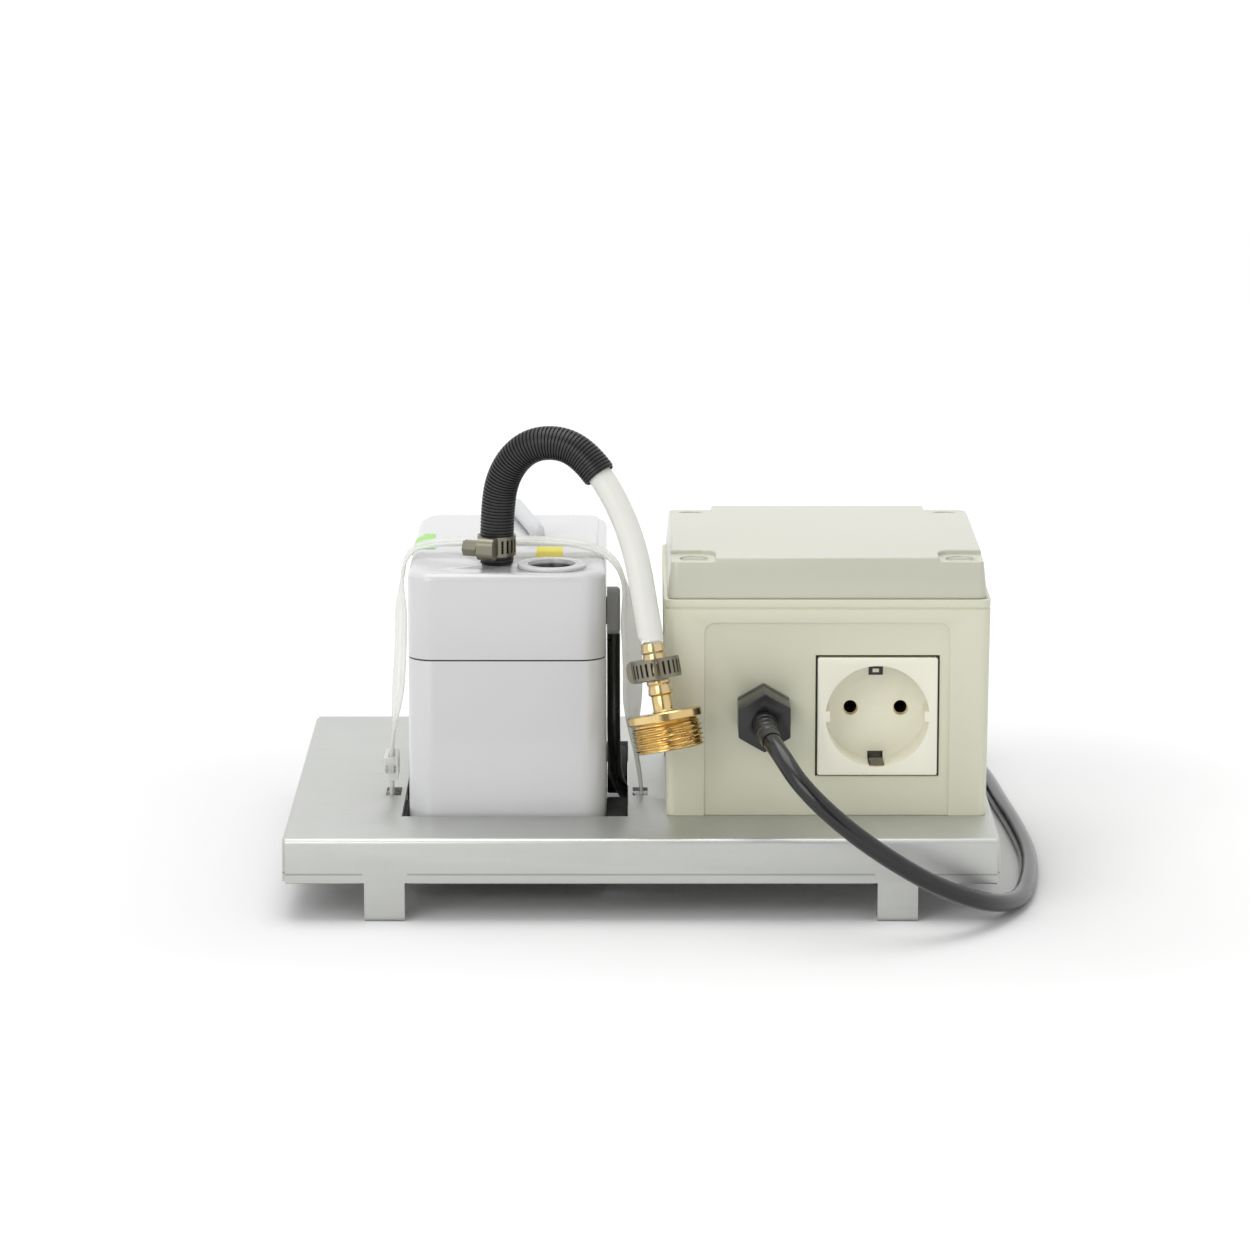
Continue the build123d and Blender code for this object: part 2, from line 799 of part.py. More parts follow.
vane_base = shaft_bottom + vane_height
with BuildPart() as impeller:
    with BuildSketch(Plane.XY.offset(vane_base)):
        with Locations((motor_x, motor_y)):
            Circle(impeller_diameter / 2)
    extrude(amount=impeller_disc)
    with BuildSketch(Plane.XY.offset(shaft_bottom)):
        with Locations((motor_x, motor_y)):
            Circle(shaft_diameter / 2 + hub_wall)
    extrude(amount=vane_height + impeller_disc + hub_rise)
    with BuildSketch(Plane.XY.offset(shaft_bottom)):
        with Locations((motor_x, motor_y)):
            with PolarLocations(0, vane_count):
                add(vane.sketch)
    extrude(amount=vane_height + impeller_disc / 2)
    with BuildSketch(Plane.XY.offset(shaft_bottom)):
        with Locations((motor_x, motor_y)):
            Circle(shaft_diameter / 2)
    extrude(amount=vane_height + impeller_disc + hub_rise, mode=Mode.SUBTRACT)
finish(impeller, "impeller")

# ---- discharge: riser, check valve, spigot ---------------------------------------------------
chamber_edge = motor_y - sqrt((chamber_outer / 2 - chamber_wall / 2)**2 - outlet_offset**2)
with BuildPart() as riser_pipe:
    with BuildLine() as riser_line:
        FilletPolyline((riser_x, chamber_edge, outlet_z), (riser_x, riser_y, outlet_z),
                       (riser_x, riser_y, riser_height), radius=riser_outer)
    with BuildSketch(riser_line.line ^ 0):
        Circle(riser_outer / 2)
        Circle(riser_bore / 2, mode=Mode.SUBTRACT)
    sweep()
finish(riser_pipe, "riser_pipe")


def turned(points, plane):
    # a turned piece: points are (radius, height) about the plane's z axis
    with BuildPart() as piece:
        with BuildSketch(Plane(plane.origin, x_dir=plane.x_dir, z_dir=-plane.y_dir)):
            with BuildLine():
                Polyline(*points, close=True)
            make_face()
        revolve(axis=Axis(plane.origin, plane.z_dir))
    return piece


ball_seat = ball_diameter / 2
ball_rest = sqrt(ball_seat**2 - (valve_seat_bore / 2)**2) + press_gap
valve_roof = valve_top - spigot_seat
socket_radius = riser_outer / 2 + press_gap
valve_body = turned([(socket_radius, valve_bottom), (valve_outer / 2, valve_bottom),
            (valve_outer / 2, valve_top), (valve_chamber / 2, valve_top),
            (valve_chamber / 2, valve_seat_height), (valve_seat_bore / 2, valve_seat_height),
            (valve_seat_bore / 2, riser_height), (socket_radius, riser_height)],
           Plane((riser_x, riser_y, 0)))
finish(valve_body, "valve_body")

with BuildPart() as check_ball:
    with Locations((riser_x, riser_y, valve_seat_height + ball_rest)):
        Sphere(ball_seat)
finish(check_ball, "check_ball")

spigot_top = pump_top + fit_gap + spigot_barb_length
barb_radius = hose_bore / 2 - barb_gap
plug_radius = valve_chamber / 2 - press_gap
flange_radius = spigot_neck / 2 + spigot_flange
spigot_shoulder = pump_top - pump_wall - slip_gap
discharge_spigot = turned([(spigot_bore / 2, valve_roof), (plug_radius, valve_roof),
            (plug_radius, valve_top), (flange_radius, valve_top), (flange_radius, spigot_shoulder),
            (spigot_neck / 2, spigot_shoulder), (spigot_neck / 2, pump_top + fit_gap),
            (barb_radius, pump_top + fit_gap), (barb_radius, spigot_top - barb_lead),
            (barb_radius - barb_taper, spigot_top), (spigot_bore / 2, spigot_top)],
           Plane((riser_x, riser_y, 0)))
finish(discharge_spigot, "discharge_spigot")

# ---- float switch ----------------------------------------------------------------------------
stem_radius = float_stem / 2
clip_bottom = float_bottom - fit_gap - float_clip_height
clip_top = clip_bottom + float_clip_height
clip_radius = stem_radius + float_clip_lip
float_radius = float_outer / 2
float_top = float_bottom + float_height
magnet_top = float_bottom + magnet_height
float_guide = turned([(0, clip_bottom - stem_tip), (stem_radius, clip_bottom - stem_tip),
            (stem_radius, clip_bottom), (clip_radius, clip_bottom), (clip_radius, clip_top),
            (stem_radius, clip_top), (stem_radius, deck_top), (clip_radius, deck_top),
            (clip_radius, deck_top + stem_head), (0, deck_top + stem_head)],
           Plane((float_x, float_y, 0)))
finish(float_guide, "float_guide")

float_bore = stem_radius + float_stem_gap
level_float = turned([(magnet_outer / 2, float_bottom), (float_radius - float_edge, float_bottom),
            (float_radius, float_bottom + float_edge), (float_radius, float_top - float_edge),
            (float_radius - float_edge, float_top), (float_bore, float_top),
            (float_bore, magnet_top), (magnet_outer / 2, magnet_top)],
           Plane((float_x, float_y, 0)))
finish(level_float, "level_float")

magnet_radius = magnet_outer / 2 - press_gap
float_magnet = turned([(float_bore, float_bottom), (magnet_radius, float_bottom),
            (magnet_radius, magnet_top), (float_bore, magnet_top)], Plane((float_x, float_y, 0)))
finish(float_magnet, "float_magnet")

# ---- strap -----------------------------------------------------------------------------------
left_slot = cut_x - slot_centre
right_slot = cut_x + slot_centre
strap_low = cradle_low - cradle_sheet / 2 - fit_gap
strap_high = pump_top + 4.5
pump_left = pump_x - pump_width / 2
# inner line of the strap, seen from the front: under the cradle, up through both slots, and over
strap_line = [
    (left_slot, strap_low), (left_slot, buckle_z + 10), (pump_left - 3.6, 78.0),
    (pump_left - 3.0, 112.0), (pump_left - 1.5, pump_top + 0.5), (pump_left + 7.0, strap_high),
    (pump_x, strap_high + 0.8), (pump_right - 10.0, strap_high), (pump_right + 3.0, 122.5),
    (pump_right + 7.2, 110.0), (pump_right + 9.4, 88.0), (pump_right + 9.2, 54.0),
    (right_slot, 34.0), (right_slot, strap_low)]
strap_bends = [fold_radius, *bend_radii(strap_line), fold_radius]
with BuildPart() as strap:
    with BuildSketch(Plane.XZ.offset(-strap_y)) as band:
        with BuildLine() as inner_line:
            FilletPolyline(*strap_line, radius=strap_bends, close=True)
        make_face()
        offset(amount=strap_thick, kind=Kind.ARC)
        with BuildLine():
            add(inner_line.line)
        make_face(mode=Mode.SUBTRACT)
    extrude(amount=strap_width / 2, both=True)
finish(strap, "strap")

# slider that joins the strap's ends, with a small slot each side of the strap
buckle_width = strap_thick + 2 * buckle_wall
buckle_depth = strap_width + 2 * buckle_wall
with BuildPart() as strap_buckle:
    with Locations((left_slot - strap_thick / 2, strap_y, buckle_z)):
        Box(buckle_width, buckle_depth, buckle_height)
        Box(strap_thick + 2 * buckle_gap, strap_width + 2 * buckle_gap, 2 * buckle_height,
            mode=Mode.SUBTRACT)
    chamfer(strap_buckle.edges().filter_by(Axis.Y).group_by(SortBy.LENGTH)[-1], buckle_edge)
    with BuildSketch(Plane.XZ.offset(-strap_y + buckle_depth / 2)):
        with Locations((left_slot - strap_thick / 2, buckle_z)):
            with GridLocations(strap_thick + buckle_wall - buckle_slot_width / 2, 1, 2, 1):
                Rectangle(buckle_slot_width, buckle_slot_height)
    extrude(amount=-buckle_slot_depth, mode=Mode.SUBTRACT)
finish(strap_buckle, "strap_buckle")

# ---- hose, sleeve and fitting ----------------------------------------------------------------
fitting_origin = Vector(fitting_x, fitting_y, fitting_z)
fitting_axis = fitting_up.normalized()
fitting_plane = Plane(fitting_origin, x_dir=(1, 0, 0.18), z_dir=fitting_axis)


def up_fitting(distance):
    return tuple(fitting_origin + fitting_axis * distance)


hose_route = [
    (riser_x, riser_y, pump_top + fit_gap), (riser_x, riser_y, 147.0), (-50.8, -52.0, 161.5),
    (-42.0, -56.0, 171.0), (-30.0, -59.5, 172.5), (-20.5, -63.0, 167.5), (-10.5, -68.5, 154.5),
    (-2.2, -74.0, 135.5), up_fitting(38.0), up_fitting(hose_end_height)]
hose_radii = bend_radii(hose_route)
sleeve_bends = 5
sleeve_end = tuple((Vector(*hose_route[sleeve_bends]) + Vector(*hose_route[sleeve_bends + 1])) / 2)
finish(tube(hose_route, hose_outer, hose_bore, hose_radii, "hose"), "hose")
finish(tube([*hose_route[:sleeve_bends + 1], sleeve_end], sleeve_outer, hose_outer + 0.3,
            hose_radii[:sleeve_bends], "hose_sleeve"), "hose_sleeve")

barb_top = hose_end_height + barb_length
hose_fitting = turned([(fitting_bore / 2, -flange_thick / 2 - thread_length),
            (thread_diameter / 2, -flange_thick / 2 - thread_length),
            (thread_diameter / 2, -flange_thick / 2), (flange_diameter / 2, -flange_thick / 2),
            (flange_diameter / 2, flange_thick / 2), (stem_diameter / 2, flange_thick / 2),
            (stem_diameter / 2, hose_end_height - slip_gap),
            (barb_radius, hose_end_height - slip_gap), (barb_radius, barb_top - barb_lead),
            (barb_radius - barb_taper, barb_top),
            (fitting_bore / 2, barb_top)], fitting_plane)
finish(hose_fitting, "hose_fitting")


def worm_clamp(plane, clamped, tail, name):
    # perforated band round the hose, its housing on the plane's -y side and its screw along the
    # plane's x axis; a long band ends in a tail that stands off round the hose
    ring_radius = clamped / 2 + clamp_gap + clamp_band / 2
    housing_outer = worm_diameter / 2 + clamp_housing_wall
    worm_y = -(ring_radius + housing_outer)
    cross = Plane(plane.origin, x_dir=plane.y_dir, z_dir=plane.x_dir)
    housing_end = clamp_housing_length / 2
    bands = [(ring_radius, 0, 360)]
    if tail:
        tail_radius = (tail_diameter - clamp_band) / 2
        bands.append((tail_radius, degrees(atan2(worm_y, housing_end)), tail_sweep))
    with BuildPart() as clamp_ring:
        for radius, start, sweep_angle in bands:
            with BuildSketch(plane.offset(-clamp_width / 2)):
                with BuildLine() as run:
                    CenterArc((0, 0), radius, start, sweep_angle)
                trace(run.line, line_width=clamp_band)
            extrude(amount=clamp_width)
            slots = int(radians(sweep_angle) * radius / clamp_slot_pitch)
            with Locations(plane):
                with PolarLocations(radius, slots, start, sweep_angle):
                    Box(2 * clamp_band, clamp_slot_width, clamp_slot_length, mode=Mode.SUBTRACT)
        with BuildSketch(cross.offset(-housing_end)):
            with Locations((worm_y, 0)):
                SlotOverall(clamp_housing, 2 * housing_outer, rotation=90)
        extrude(amount=clamp_housing_length)
        with BuildSketch(cross.offset(housing_end - clamp_end_wall)):
            with Locations((worm_y, 0)):
                Circle(worm_diameter / 2 + worm_gap)
        extrude(amount=-clamp_housing_length, mode=Mode.SUBTRACT)
    finish(clamp_ring, f"{name}_band")
    head_start = -housing_end - worm_gap
    with BuildPart() as worm:
        with BuildSketch(cross.offset(housing_end - clamp_end_wall - worm_gap)):
            with Locations((worm_y, 0)):
                Circle(worm_diameter / 2)
        extrude(amount=head_start - housing_end + clamp_end_wall + worm_gap)
        with BuildSketch(cross.offset(head_start)):
            with Locations((worm_y, 0)):
                RegularPolygon(worm_head / 2, 6, major_radius=False)
        extrude(amount=-worm_head_length)
        with BuildSketch(cross.offset(head_start - worm_head_length)):
            with Locations((worm_y, 0)):
                Rectangle(worm_slot_width, 2 * worm_head)
        extrude(amount=worm_slot_depth, mode=Mode.SUBTRACT)
    finish(worm, f"{name}_screw")


upper_axis = (cos(radians(clamp_turn)), -sin(radians(clamp_turn)), 0)
worm_clamp(Plane((riser_x, riser_y, clamp_height), x_dir=upper_axis), sleeve_outer, False,
           "upper_clamp")
worm_clamp(Plane(up_fitting(lower_clamp_height), x_dir=(-0.6, -0.8, 0), z_dir=fitting_axis),
           hose_outer, True, "lower_clamp")

# ---- wiring box ------------------------------------------------------------------------------
screw_x = box_width / 2 - boss_inset
screw_y = box_depth / 2 - boss_inset
front_panel = Plane((box_x, box_front, base_top), x_dir=(1, 0, 0), z_dir=(0, -1, 0))
panel_face = box_front + panel_recess + (box_top - socket_z) * tan(radians(box_draft))
panel_wall = box_wall - panel_recess
with BuildPart() as box_body:
    with BuildSketch(Plane.XY.offset(box_top)):
        with Locations((box_x, box_y)):
            RectangleRounded(box_width, box_depth, box_corner)
    extrude(amount=-box_height, taper=box_draft)
    # recessed panel between the corner columns, on each side
    for wall in box_body.faces().filter_by(GeomType.PLANE).filter_by(
            lambda face: abs(face.normal_at().Z) < 0.5):
        outward = wall.normal_at()
        across = Vector(0, 0, 1).cross(outward)
        with BuildSketch(Plane(wall.center(), x_dir=across, z_dir=outward)):
            with Locations((0, -box_height / 2)):
                RectangleRounded(panel_width, panel_height * 2, panel_corner)
        extrude(amount=-panel_recess, mode=Mode.SUBTRACT)
    # fine groove below the rim
    with BuildSketch(Plane.XY.offset(box_top - collar_height)):
        with Locations((box_x, box_y)):
            Rectangle(box_width + 2, box_depth + 2)
            RectangleRounded(box_width - 2 * groove_depth, box_depth - 2 * groove_depth,
                             box_corner - groove_depth, mode=Mode.SUBTRACT)
    extrude(amount=-groove_width, mode=Mode.SUBTRACT)
    with BuildSketch(Plane.XY.offset(box_top)):
        with Locations((box_x, box_y)):
            RectangleRounded(box_width - 2 * box_wall, box_depth - 2 * box_wall,
                             box_corner - box_wall)
    extrude(amount=-box_height + box_floor, taper=box_draft, mode=Mode.SUBTRACT)
    # corner bosses that take the lid's screws
    with BuildSketch(Plane.XY.offset(base_top + box_floor)):
        with Locations((box_x, box_y)):
            with GridLocations(2 * screw_x, 2 * screw_y, 2, 2):
                Circle(boss_diameter / 2)
    extrude(amount=box_height - box_floor - fit_gap)
    with BuildSketch(Plane.XY.offset(box_top)):
        with Locations((box_x, box_y)):
            with GridLocations(2 * screw_x, 2 * screw_y, 2, 2):
                Circle(lid_screw_shank / 2 + fit_gap)
    extrude(amount=-boss_hole_depth, mode=Mode.SUBTRACT)
    with BuildSketch(front_panel):
        with Locations((socket_x - box_x, socket_z - base_top)):
            Rectangle(socket_size + 2 * socket_gap, socket_size + 2 * socket_gap)
        with Locations((gland_x - box_x, gland_z - base_top)):
            Circle(gland_thread / 2 + slip_gap)
    extrude(amount=-3 * box_wall, mode=Mode.SUBTRACT)
    with BuildSketch(Plane.XY.offset(base_top)):
        with Locations((box_entry_x, box_entry_y)):
            Circle(entry_radius)
    extrude(amount=2 * box_floor, mode=Mode.SUBTRACT)
finish(box_body, "box_body")

with BuildPart() as box_screws:
    with BuildSketch(Plane.XY.offset(base_top + box_floor)):
        with Locations((box_x, box_y)):
            with GridLocations(box_screw_x, box_screw_y, 2, 2):
                Circle(box_screw_head / 2)
    extrude(amount=box_screw_head_height)
finish(box_screws, "box_screws")

lid_inner_corner = box_corner / 2
lid_seat = box_top + fit_gap
lid_bottom = lid_seat + gasket_thick
with BuildPart() as lid_gasket:
    with BuildSketch(Plane.XY.offset(lid_seat)):
        with Locations((box_x, box_y)):
            RectangleRounded(lid_width - 2 * gasket_inset, lid_depth - 2 * gasket_inset,
                             box_corner - gasket_inset)
            RectangleRounded(lid_width - 2 * lid_wall, lid_depth - 2 * lid_wall, lid_inner_corner,
                             mode=Mode.SUBTRACT)
    extrude(amount=gasket_thick)
finish(lid_gasket, "lid_gasket")

lid_top = lid_bottom + lid_height
lid_shrink = lid_height * tan(radians(lid_draft))
top_width = lid_width - 2 * lid_shrink
top_depth = lid_depth - 2 * lid_shrink
with BuildPart() as box_lid:
    with BuildSketch(Plane.XY.offset(lid_bottom)):
        with Locations((box_x, box_y)):
            RectangleRounded(lid_width, lid_depth, box_corner)
    extrude(amount=lid_height, taper=lid_draft)
    # lowered corners with a round inner corner, where the screws sit
    with BuildSketch(Plane.XY.offset(lid_top)):
        with Locations((box_x, box_y)):
            with GridLocations(top_width, top_depth, 2, 2):
                RectangleRounded(2 * lid_notch, 2 * lid_notch, lid_notch_corner)
    extrude(amount=-lid_notch_drop, mode=Mode.SUBTRACT)
    with BuildSketch(Plane.XY.offset(lid_bottom)):
        with Locations((box_x, box_y)):
            RectangleRounded(lid_width - 2 * lid_wall, lid_depth - 2 * lid_wall, lid_inner_corner)
    extrude(amount=lid_height - lid_wall - lid_notch_drop, taper=lid_draft, mode=Mode.SUBTRACT)
    # screw sleeves hanging from the corners
    with BuildSketch(Plane.XY.offset(lid_bottom)):
        with Locations((box_x, box_y)):
            with GridLocations(2 * screw_x, 2 * screw_y, 2, 2):
                Circle(lid_screw_head / 2 + lid_sleeve_wall)
    extrude(amount=lid_height - lid_notch_drop - lid_wall / 2)
    with BuildSketch(Plane.XY.offset(lid_bottom)):
        with Locations((box_x, box_y)):
            with GridLocations(2 * screw_x, 2 * screw_y, 2, 2):
                Circle(lid_screw_shank / 2 + fit_gap)
    extrude(amount=lid_height, mode=Mode.SUBTRACT)
    with BuildSketch(Plane.XY.offset(lid_top)):
        with Locations((box_x, box_y)):
            with GridLocations(2 * screw_x, 2 * screw_y, 2, 2):
                Circle(lid_screw_head / 2 + fit_gap)
    extrude(amount=-lid_notch_drop - lid_screw_sink, mode=Mode.SUBTRACT)
    fillet(box_lid.edges().group_by(Axis.Z)[-1], lid_edge)
finish(box_lid, "box_lid")

head_top = lid_top - lid_notch_drop - lid_screw_drop
head_seat = lid_top - lid_notch_drop - lid_screw_sink + fit_gap
for hand_x, column in ((-1, "left"), (1, "right")):
    for hand_y, row in ((-1, "front"), (1, "back")):
        place = Plane((box_x + hand_x * screw_x, box_y + hand_y * screw_y, head_seat))
        with BuildPart() as lid_screw:
            with BuildSketch(place):
                Circle(lid_screw_head / 2)
            extrude(amount=head_top - head_seat)
            chamfer(lid_screw.edges().group_by(Axis.Z)[-1], lid_screw_edge)
            with BuildSketch(place):
                Circle(lid_screw_shank / 2)
            extrude(amount=-(head_seat - box_top) - lid_screw_grip)
            with BuildSketch(place.offset(head_top - head_seat)):
                Rectangle(2 * lid_screw_head, lid_screw_slot)
            extrude(amount=-lid_screw_slot_depth, mode=Mode.SUBTRACT)
        finish(lid_screw, f"lid_screw_{row}_{column}")

# ---- socket outlet ---------------------------------------------------------------------------
socket_front = panel_face - socket_proud
socket_plane = Plane((socket_x, socket_front, socket_z), x_dir=(1, 0, 0), z_dir=(0, -1, 0))
recess_radius = recess_diameter / 2
with BuildPart() as socket_insert:
    with BuildSketch(socket_plane):
        RectangleRounded(socket_size, socket_size, socket_corner)
    extrude(amount=-socket_rim)
    chamfer(socket_insert.faces().sort_by(Axis.Y)[0].edges(), socket_edge)
    with BuildSketch(socket_plane.offset(-socket_rim)):
        Circle(recess_radius + recess_wall)
    extrude(amount=socket_rim - recess_depth - recess_wall)
    with BuildSketch(socket_plane):
        Circle(recess_radius)
        # guide keys at the left and right of the recess
        with GridLocations(2 * recess_radius, 1, 2, 1):
            Rectangle(2 * key_depth, key_width, mode=Mode.SUBTRACT)
    extrude(amount=-recess_depth, mode=Mode.SUBTRACT)
    with BuildSketch(socket_plane.offset(-recess_depth)):
        with GridLocations(pin_spacing, 1, 2, 1):
            Circle(pin_hole / 2)
    extrude(amount=-recess_wall, mode=Mode.SUBTRACT)
    # slots for the earth clips, above and below
    with BuildSketch(socket_plane.offset(-earth_slot_start)):
        with GridLocations(1, recess_diameter - recess_wall / 2, 1, 2):
            Rectangle(earth_width + 2 * socket_edge, earth_slot_height)
    extrude(amount=-recess_depth, mode=Mode.SUBTRACT)
finish(socket_insert, "socket_insert")

# mounting frame behind the wall, with four legs that carry the insert's rim
frame_size = socket_size + 2 * socket_gap + 2 * frame_margin
frame_plane = Plane.XZ.offset(-panel_face - panel_wall - frame_gap)
leg_spacing = socket_size - 2 * frame_margin + 2 * socket_corner
with BuildPart() as socket_frame:
    with BuildSketch(frame_plane):
        with Locations((socket_x, socket_z)):
            RectangleRounded(frame_size, frame_size, frame_margin)
            Circle(recess_radius + recess_wall + slip_gap, mode=Mode.SUBTRACT)
    extrude(amount=-frame_thick)
    with BuildSketch(frame_plane):
        with Locations((socket_x, socket_z)):
            with GridLocations(leg_spacing, leg_spacing, 2, 2):
                Rectangle(frame_leg, frame_leg)
    extrude(amount=panel_wall + frame_gap + socket_proud - socket_rim)
finish(socket_frame, "socket_frame")

contact_start = socket_front + recess_depth + recess_wall
with BuildPart() as socket_contacts:
    with BuildSketch(Plane.XZ.offset(-contact_start)):
        with Locations((socket_x, socket_z)):
            with GridLocations(pin_spacing, 1, 2, 1):
                Circle(plug_pin / 2 + pin_gap + contact_wall)
                Circle(plug_pin / 2 + pin_gap, mode=Mode.SUBTRACT)
    extrude(amount=-contact_length)
finish(socket_contacts, "socket_contacts")

# one bent strip: its two bowed ends reach into the recess above and below
clip_reach = recess_radius + recess_wall / 2
clip_back = contact_start + frame_thick
lip_y, nip_y, shank_y = (socket_front + depth for depth in (earth_lip, earth_nip, earth_shank))
with BuildPart() as earth_clip:
    with BuildSketch(Plane.YZ.offset(socket_x)):
        with BuildLine() as clip_line:
            FilletPolyline((lip_y, socket_z + clip_reach), (nip_y, socket_z + clip_reach - earth_bow),
                           (shank_y, socket_z + clip_reach), (clip_back, socket_z + clip_reach),
                           (clip_back, socket_z - clip_reach), (shank_y, socket_z - clip_reach),
                           (nip_y, socket_z - clip_reach + earth_bow),
                           (lip_y, socket_z - clip_reach), radius=earth_bend)
        trace(clip_line.line, line_width=earth_sheet)
    extrude(amount=earth_width / 2, both=True)
finish(earth_clip, "earth_clip")

# ---- cable gland -----------------------------------------------------------------------------
gland_plane = Plane((gland_x, panel_face, gland_z), x_dir=(1, 0, 0), z_dir=(0, -1, 0))
thread_radius = gland_thread / 2 - thread_step
with BuildPart() as gland_body:
    with BuildSketch(gland_plane.offset(fit_gap)):
        RegularPolygon(gland_flats / 2, 6, major_radius=False, rotation=30)
    extrude(amount=gland_flange)
    chamfer(gland_body.faces().sort_by(Axis.Y)[0].edges(), gland_edge)
    with BuildSketch(gland_plane.offset(fit_gap)):
        Circle(gland_thread / 2)
    extrude(amount=-2 * fit_gap - box_wall - locknut_thick - thread_step)
    with BuildSketch(gland_plane.offset(fit_gap + gland_flange)):
        Circle(thread_radius)
    extrude(amount=thread_reach)
    with BuildSketch(gland_plane.offset(fit_gap + gland_flange + thread_reach)):
        Circle(seal_outer / 2)
    extrude(amount=-thread_reach, mode=Mode.SUBTRACT)
    with BuildSketch(gland_plane):
        Circle(gland_nut_hole / 2)
    extrude(amount=2 * gland_thread, both=True, mode=Mode.SUBTRACT)
finish(gland_body, "gland_body")

with BuildPart() as gland_seal:
    with BuildSketch(gland_plane.offset(fit_gap + gland_flange + slip_gap)):
        Circle(seal_outer / 2 - press_gap)
        Circle(lead_diameter / 2 + press_gap, mode=Mode.SUBTRACT)
    extrude(amount=thread_reach)
finish(gland_seal, "gland_seal")

nut_start = fit_gap + gland_flange + nut_gap
with BuildPart() as gland_nut:
    with BuildSketch(gland_plane.offset(nut_start)):
        RegularPolygon(gland_flats / 2, 6, major_radius=False, rotation=30)
    extrude(amount=gland_nut_length)
    # domed nose, turned down over the hexagon
    nose_end = -nut_start - gland_nut_length
    nose_start = nose_end + nose_height * gland_nut_length
    nose_outer = gland_flats
    with BuildSketch(Plane((gland_x, panel_face, gland_z), x_dir=(0, 0, 1), z_dir=(1, 0, 0))):
        with BuildLine():
            Polyline((nose_radius, nose_start), (nose_outer, nose_start),
                     (nose_outer, nose_end - thread_step),
                     (nose_tip_radius, nose_end - thread_step), (nose_tip_radius, nose_end))
            TangentArc((nose_radius, nose_start), (nose_tip_radius, nose_end), tangent=(0, -1))
        make_face()
    revolve(axis=Axis(gland_plane.origin, (0, 1, 0)), mode=Mode.SUBTRACT)
    with BuildSketch(gland_plane.offset(nut_start)):
        Circle(thread_radius + fit_gap)
    extrude(amount=thread_reach + gland_edge, mode=Mode.SUBTRACT)
    with BuildSketch(gland_plane.offset(nut_start)):
        Circle(gland_nut_hole / 2)
    extrude(amount=gland_nut_length, mode=Mode.SUBTRACT)
finish(gland_nut, "gland_nut")

with BuildPart() as gland_locknut:
    with BuildSketch(gland_plane.offset(-panel_wall - fit_gap)):
        RegularPolygon(locknut_flats / 2, 6, major_radius=False)
        Circle(gland_thread / 2 + press_gap, mode=Mode.SUBTRACT)
    extrude(amount=-locknut_thick)
finish(gland_locknut, "gland_locknut")

# ---- inside the box --------------------------------------------------------------------------
block_x = box_x - block_offset
with BuildPart() as terminal_block:
    with BuildSketch(Plane.XY.offset(block_floor)):
        with Locations((block_x, block_y)):
            Rectangle(block_poles * block_pitch, block_foot_depth)
    extrude(amount=block_foot_height)
    with BuildSketch(Plane.XY.offset(block_floor + block_foot_height)):
        with Locations((block_x, block_y)):
            with GridLocations(block_pitch, 1, block_poles, 1):
                Rectangle(block_pitch - block_tower_gap, block_tower_depth)
    extrude(amount=block_tower_height)
    with BuildSketch(Plane.XY.offset(block_floor + block_foot_height + block_tower_height)):
        with Locations((block_x, block_y)):
            with GridLocations(block_pitch, block_tower_depth / 2, block_poles, 2):
                Circle(block_hole / 2)
    extrude(amount=-block_hole_depth, mode=Mode.SUBTRACT)
finish(terminal_block, "terminal_block")

# ---- pump lead -------------------------------------------------------------------------------
# moulded elbow that turns the lead down as it leaves the housing
elbow_face = pump_right + fit_gap
with BuildPart() as lead_elbow:
    with BuildSketch(Plane.YZ.offset(elbow_face)):
        with Locations((strap_y, elbow_z)):
            RectangleRounded(elbow_width, elbow_height, elbow_corner)
    extrude(amount=pump_lead_diameter)
    fillet(lead_elbow.faces().sort_by(Axis.X)[-1].edges(), elbow_edge)
    with BuildSketch(Plane.YZ.offset(elbow_face)):
        with Locations((strap_y, elbow_z)):
            Rectangle(elbow_plug_width - 2 * slip_gap, elbow_plug_height - 2 * slip_gap)
    extrude(amount=-fit_gap - pump_wall)
finish(lead_elbow, "lead_elbow")

pump_lead_x = elbow_face + pump_lead_diameter / 2
pump_lead_route = [
    (pump_lead_x, strap_y, elbow_z - elbow_height / 2 - running_gap),
    (pump_lead_x, strap_y + 0.5, 52.0),
    (pump_lead_x + 1.0, strap_y + 12.0, 32.0), (pump_lead_x + 10.0, strap_y + 27.0, 18.0),
    (18.0, box_entry_y - 1, 13.5), (40.0, box_entry_y + 1, 12.0),
    (box_entry_x - 10, box_entry_y + 0.6, 12.8), (box_entry_x, box_entry_y, 20.0),
    (box_entry_x, box_entry_y, 52.0)]
pump_lead = tube(pump_lead_route, pump_lead_diameter, name="pump_lead")
finish(pump_lead, "pump_lead")

grommet_bore = pump_lead_diameter / 2 + running_gap
grommet_outer = entry_radius - running_gap
with BuildPart() as entry_grommet:
    with BuildSketch(Plane.XZ.offset(-box_entry_y)):
        with BuildLine():
            Polyline((box_entry_x + grommet_bore, base_top + grommet_foot),
                     (box_entry_x + grommet_outer, base_top + grommet_foot),
                     (box_entry_x + grommet_outer, block_floor + running_gap),
                     (box_entry_x + entry_radius + grommet_lip, block_floor + running_gap),
                     (box_entry_x + entry_radius + grommet_lip, block_floor + grommet_lip),
                     (box_entry_x + grommet_bore, block_floor + grommet_rise), close=True)
        make_face()
    revolve(axis=Axis((box_entry_x, box_entry_y, 0), (0, 0, 1)))
finish(entry_grommet, "entry_grommet")

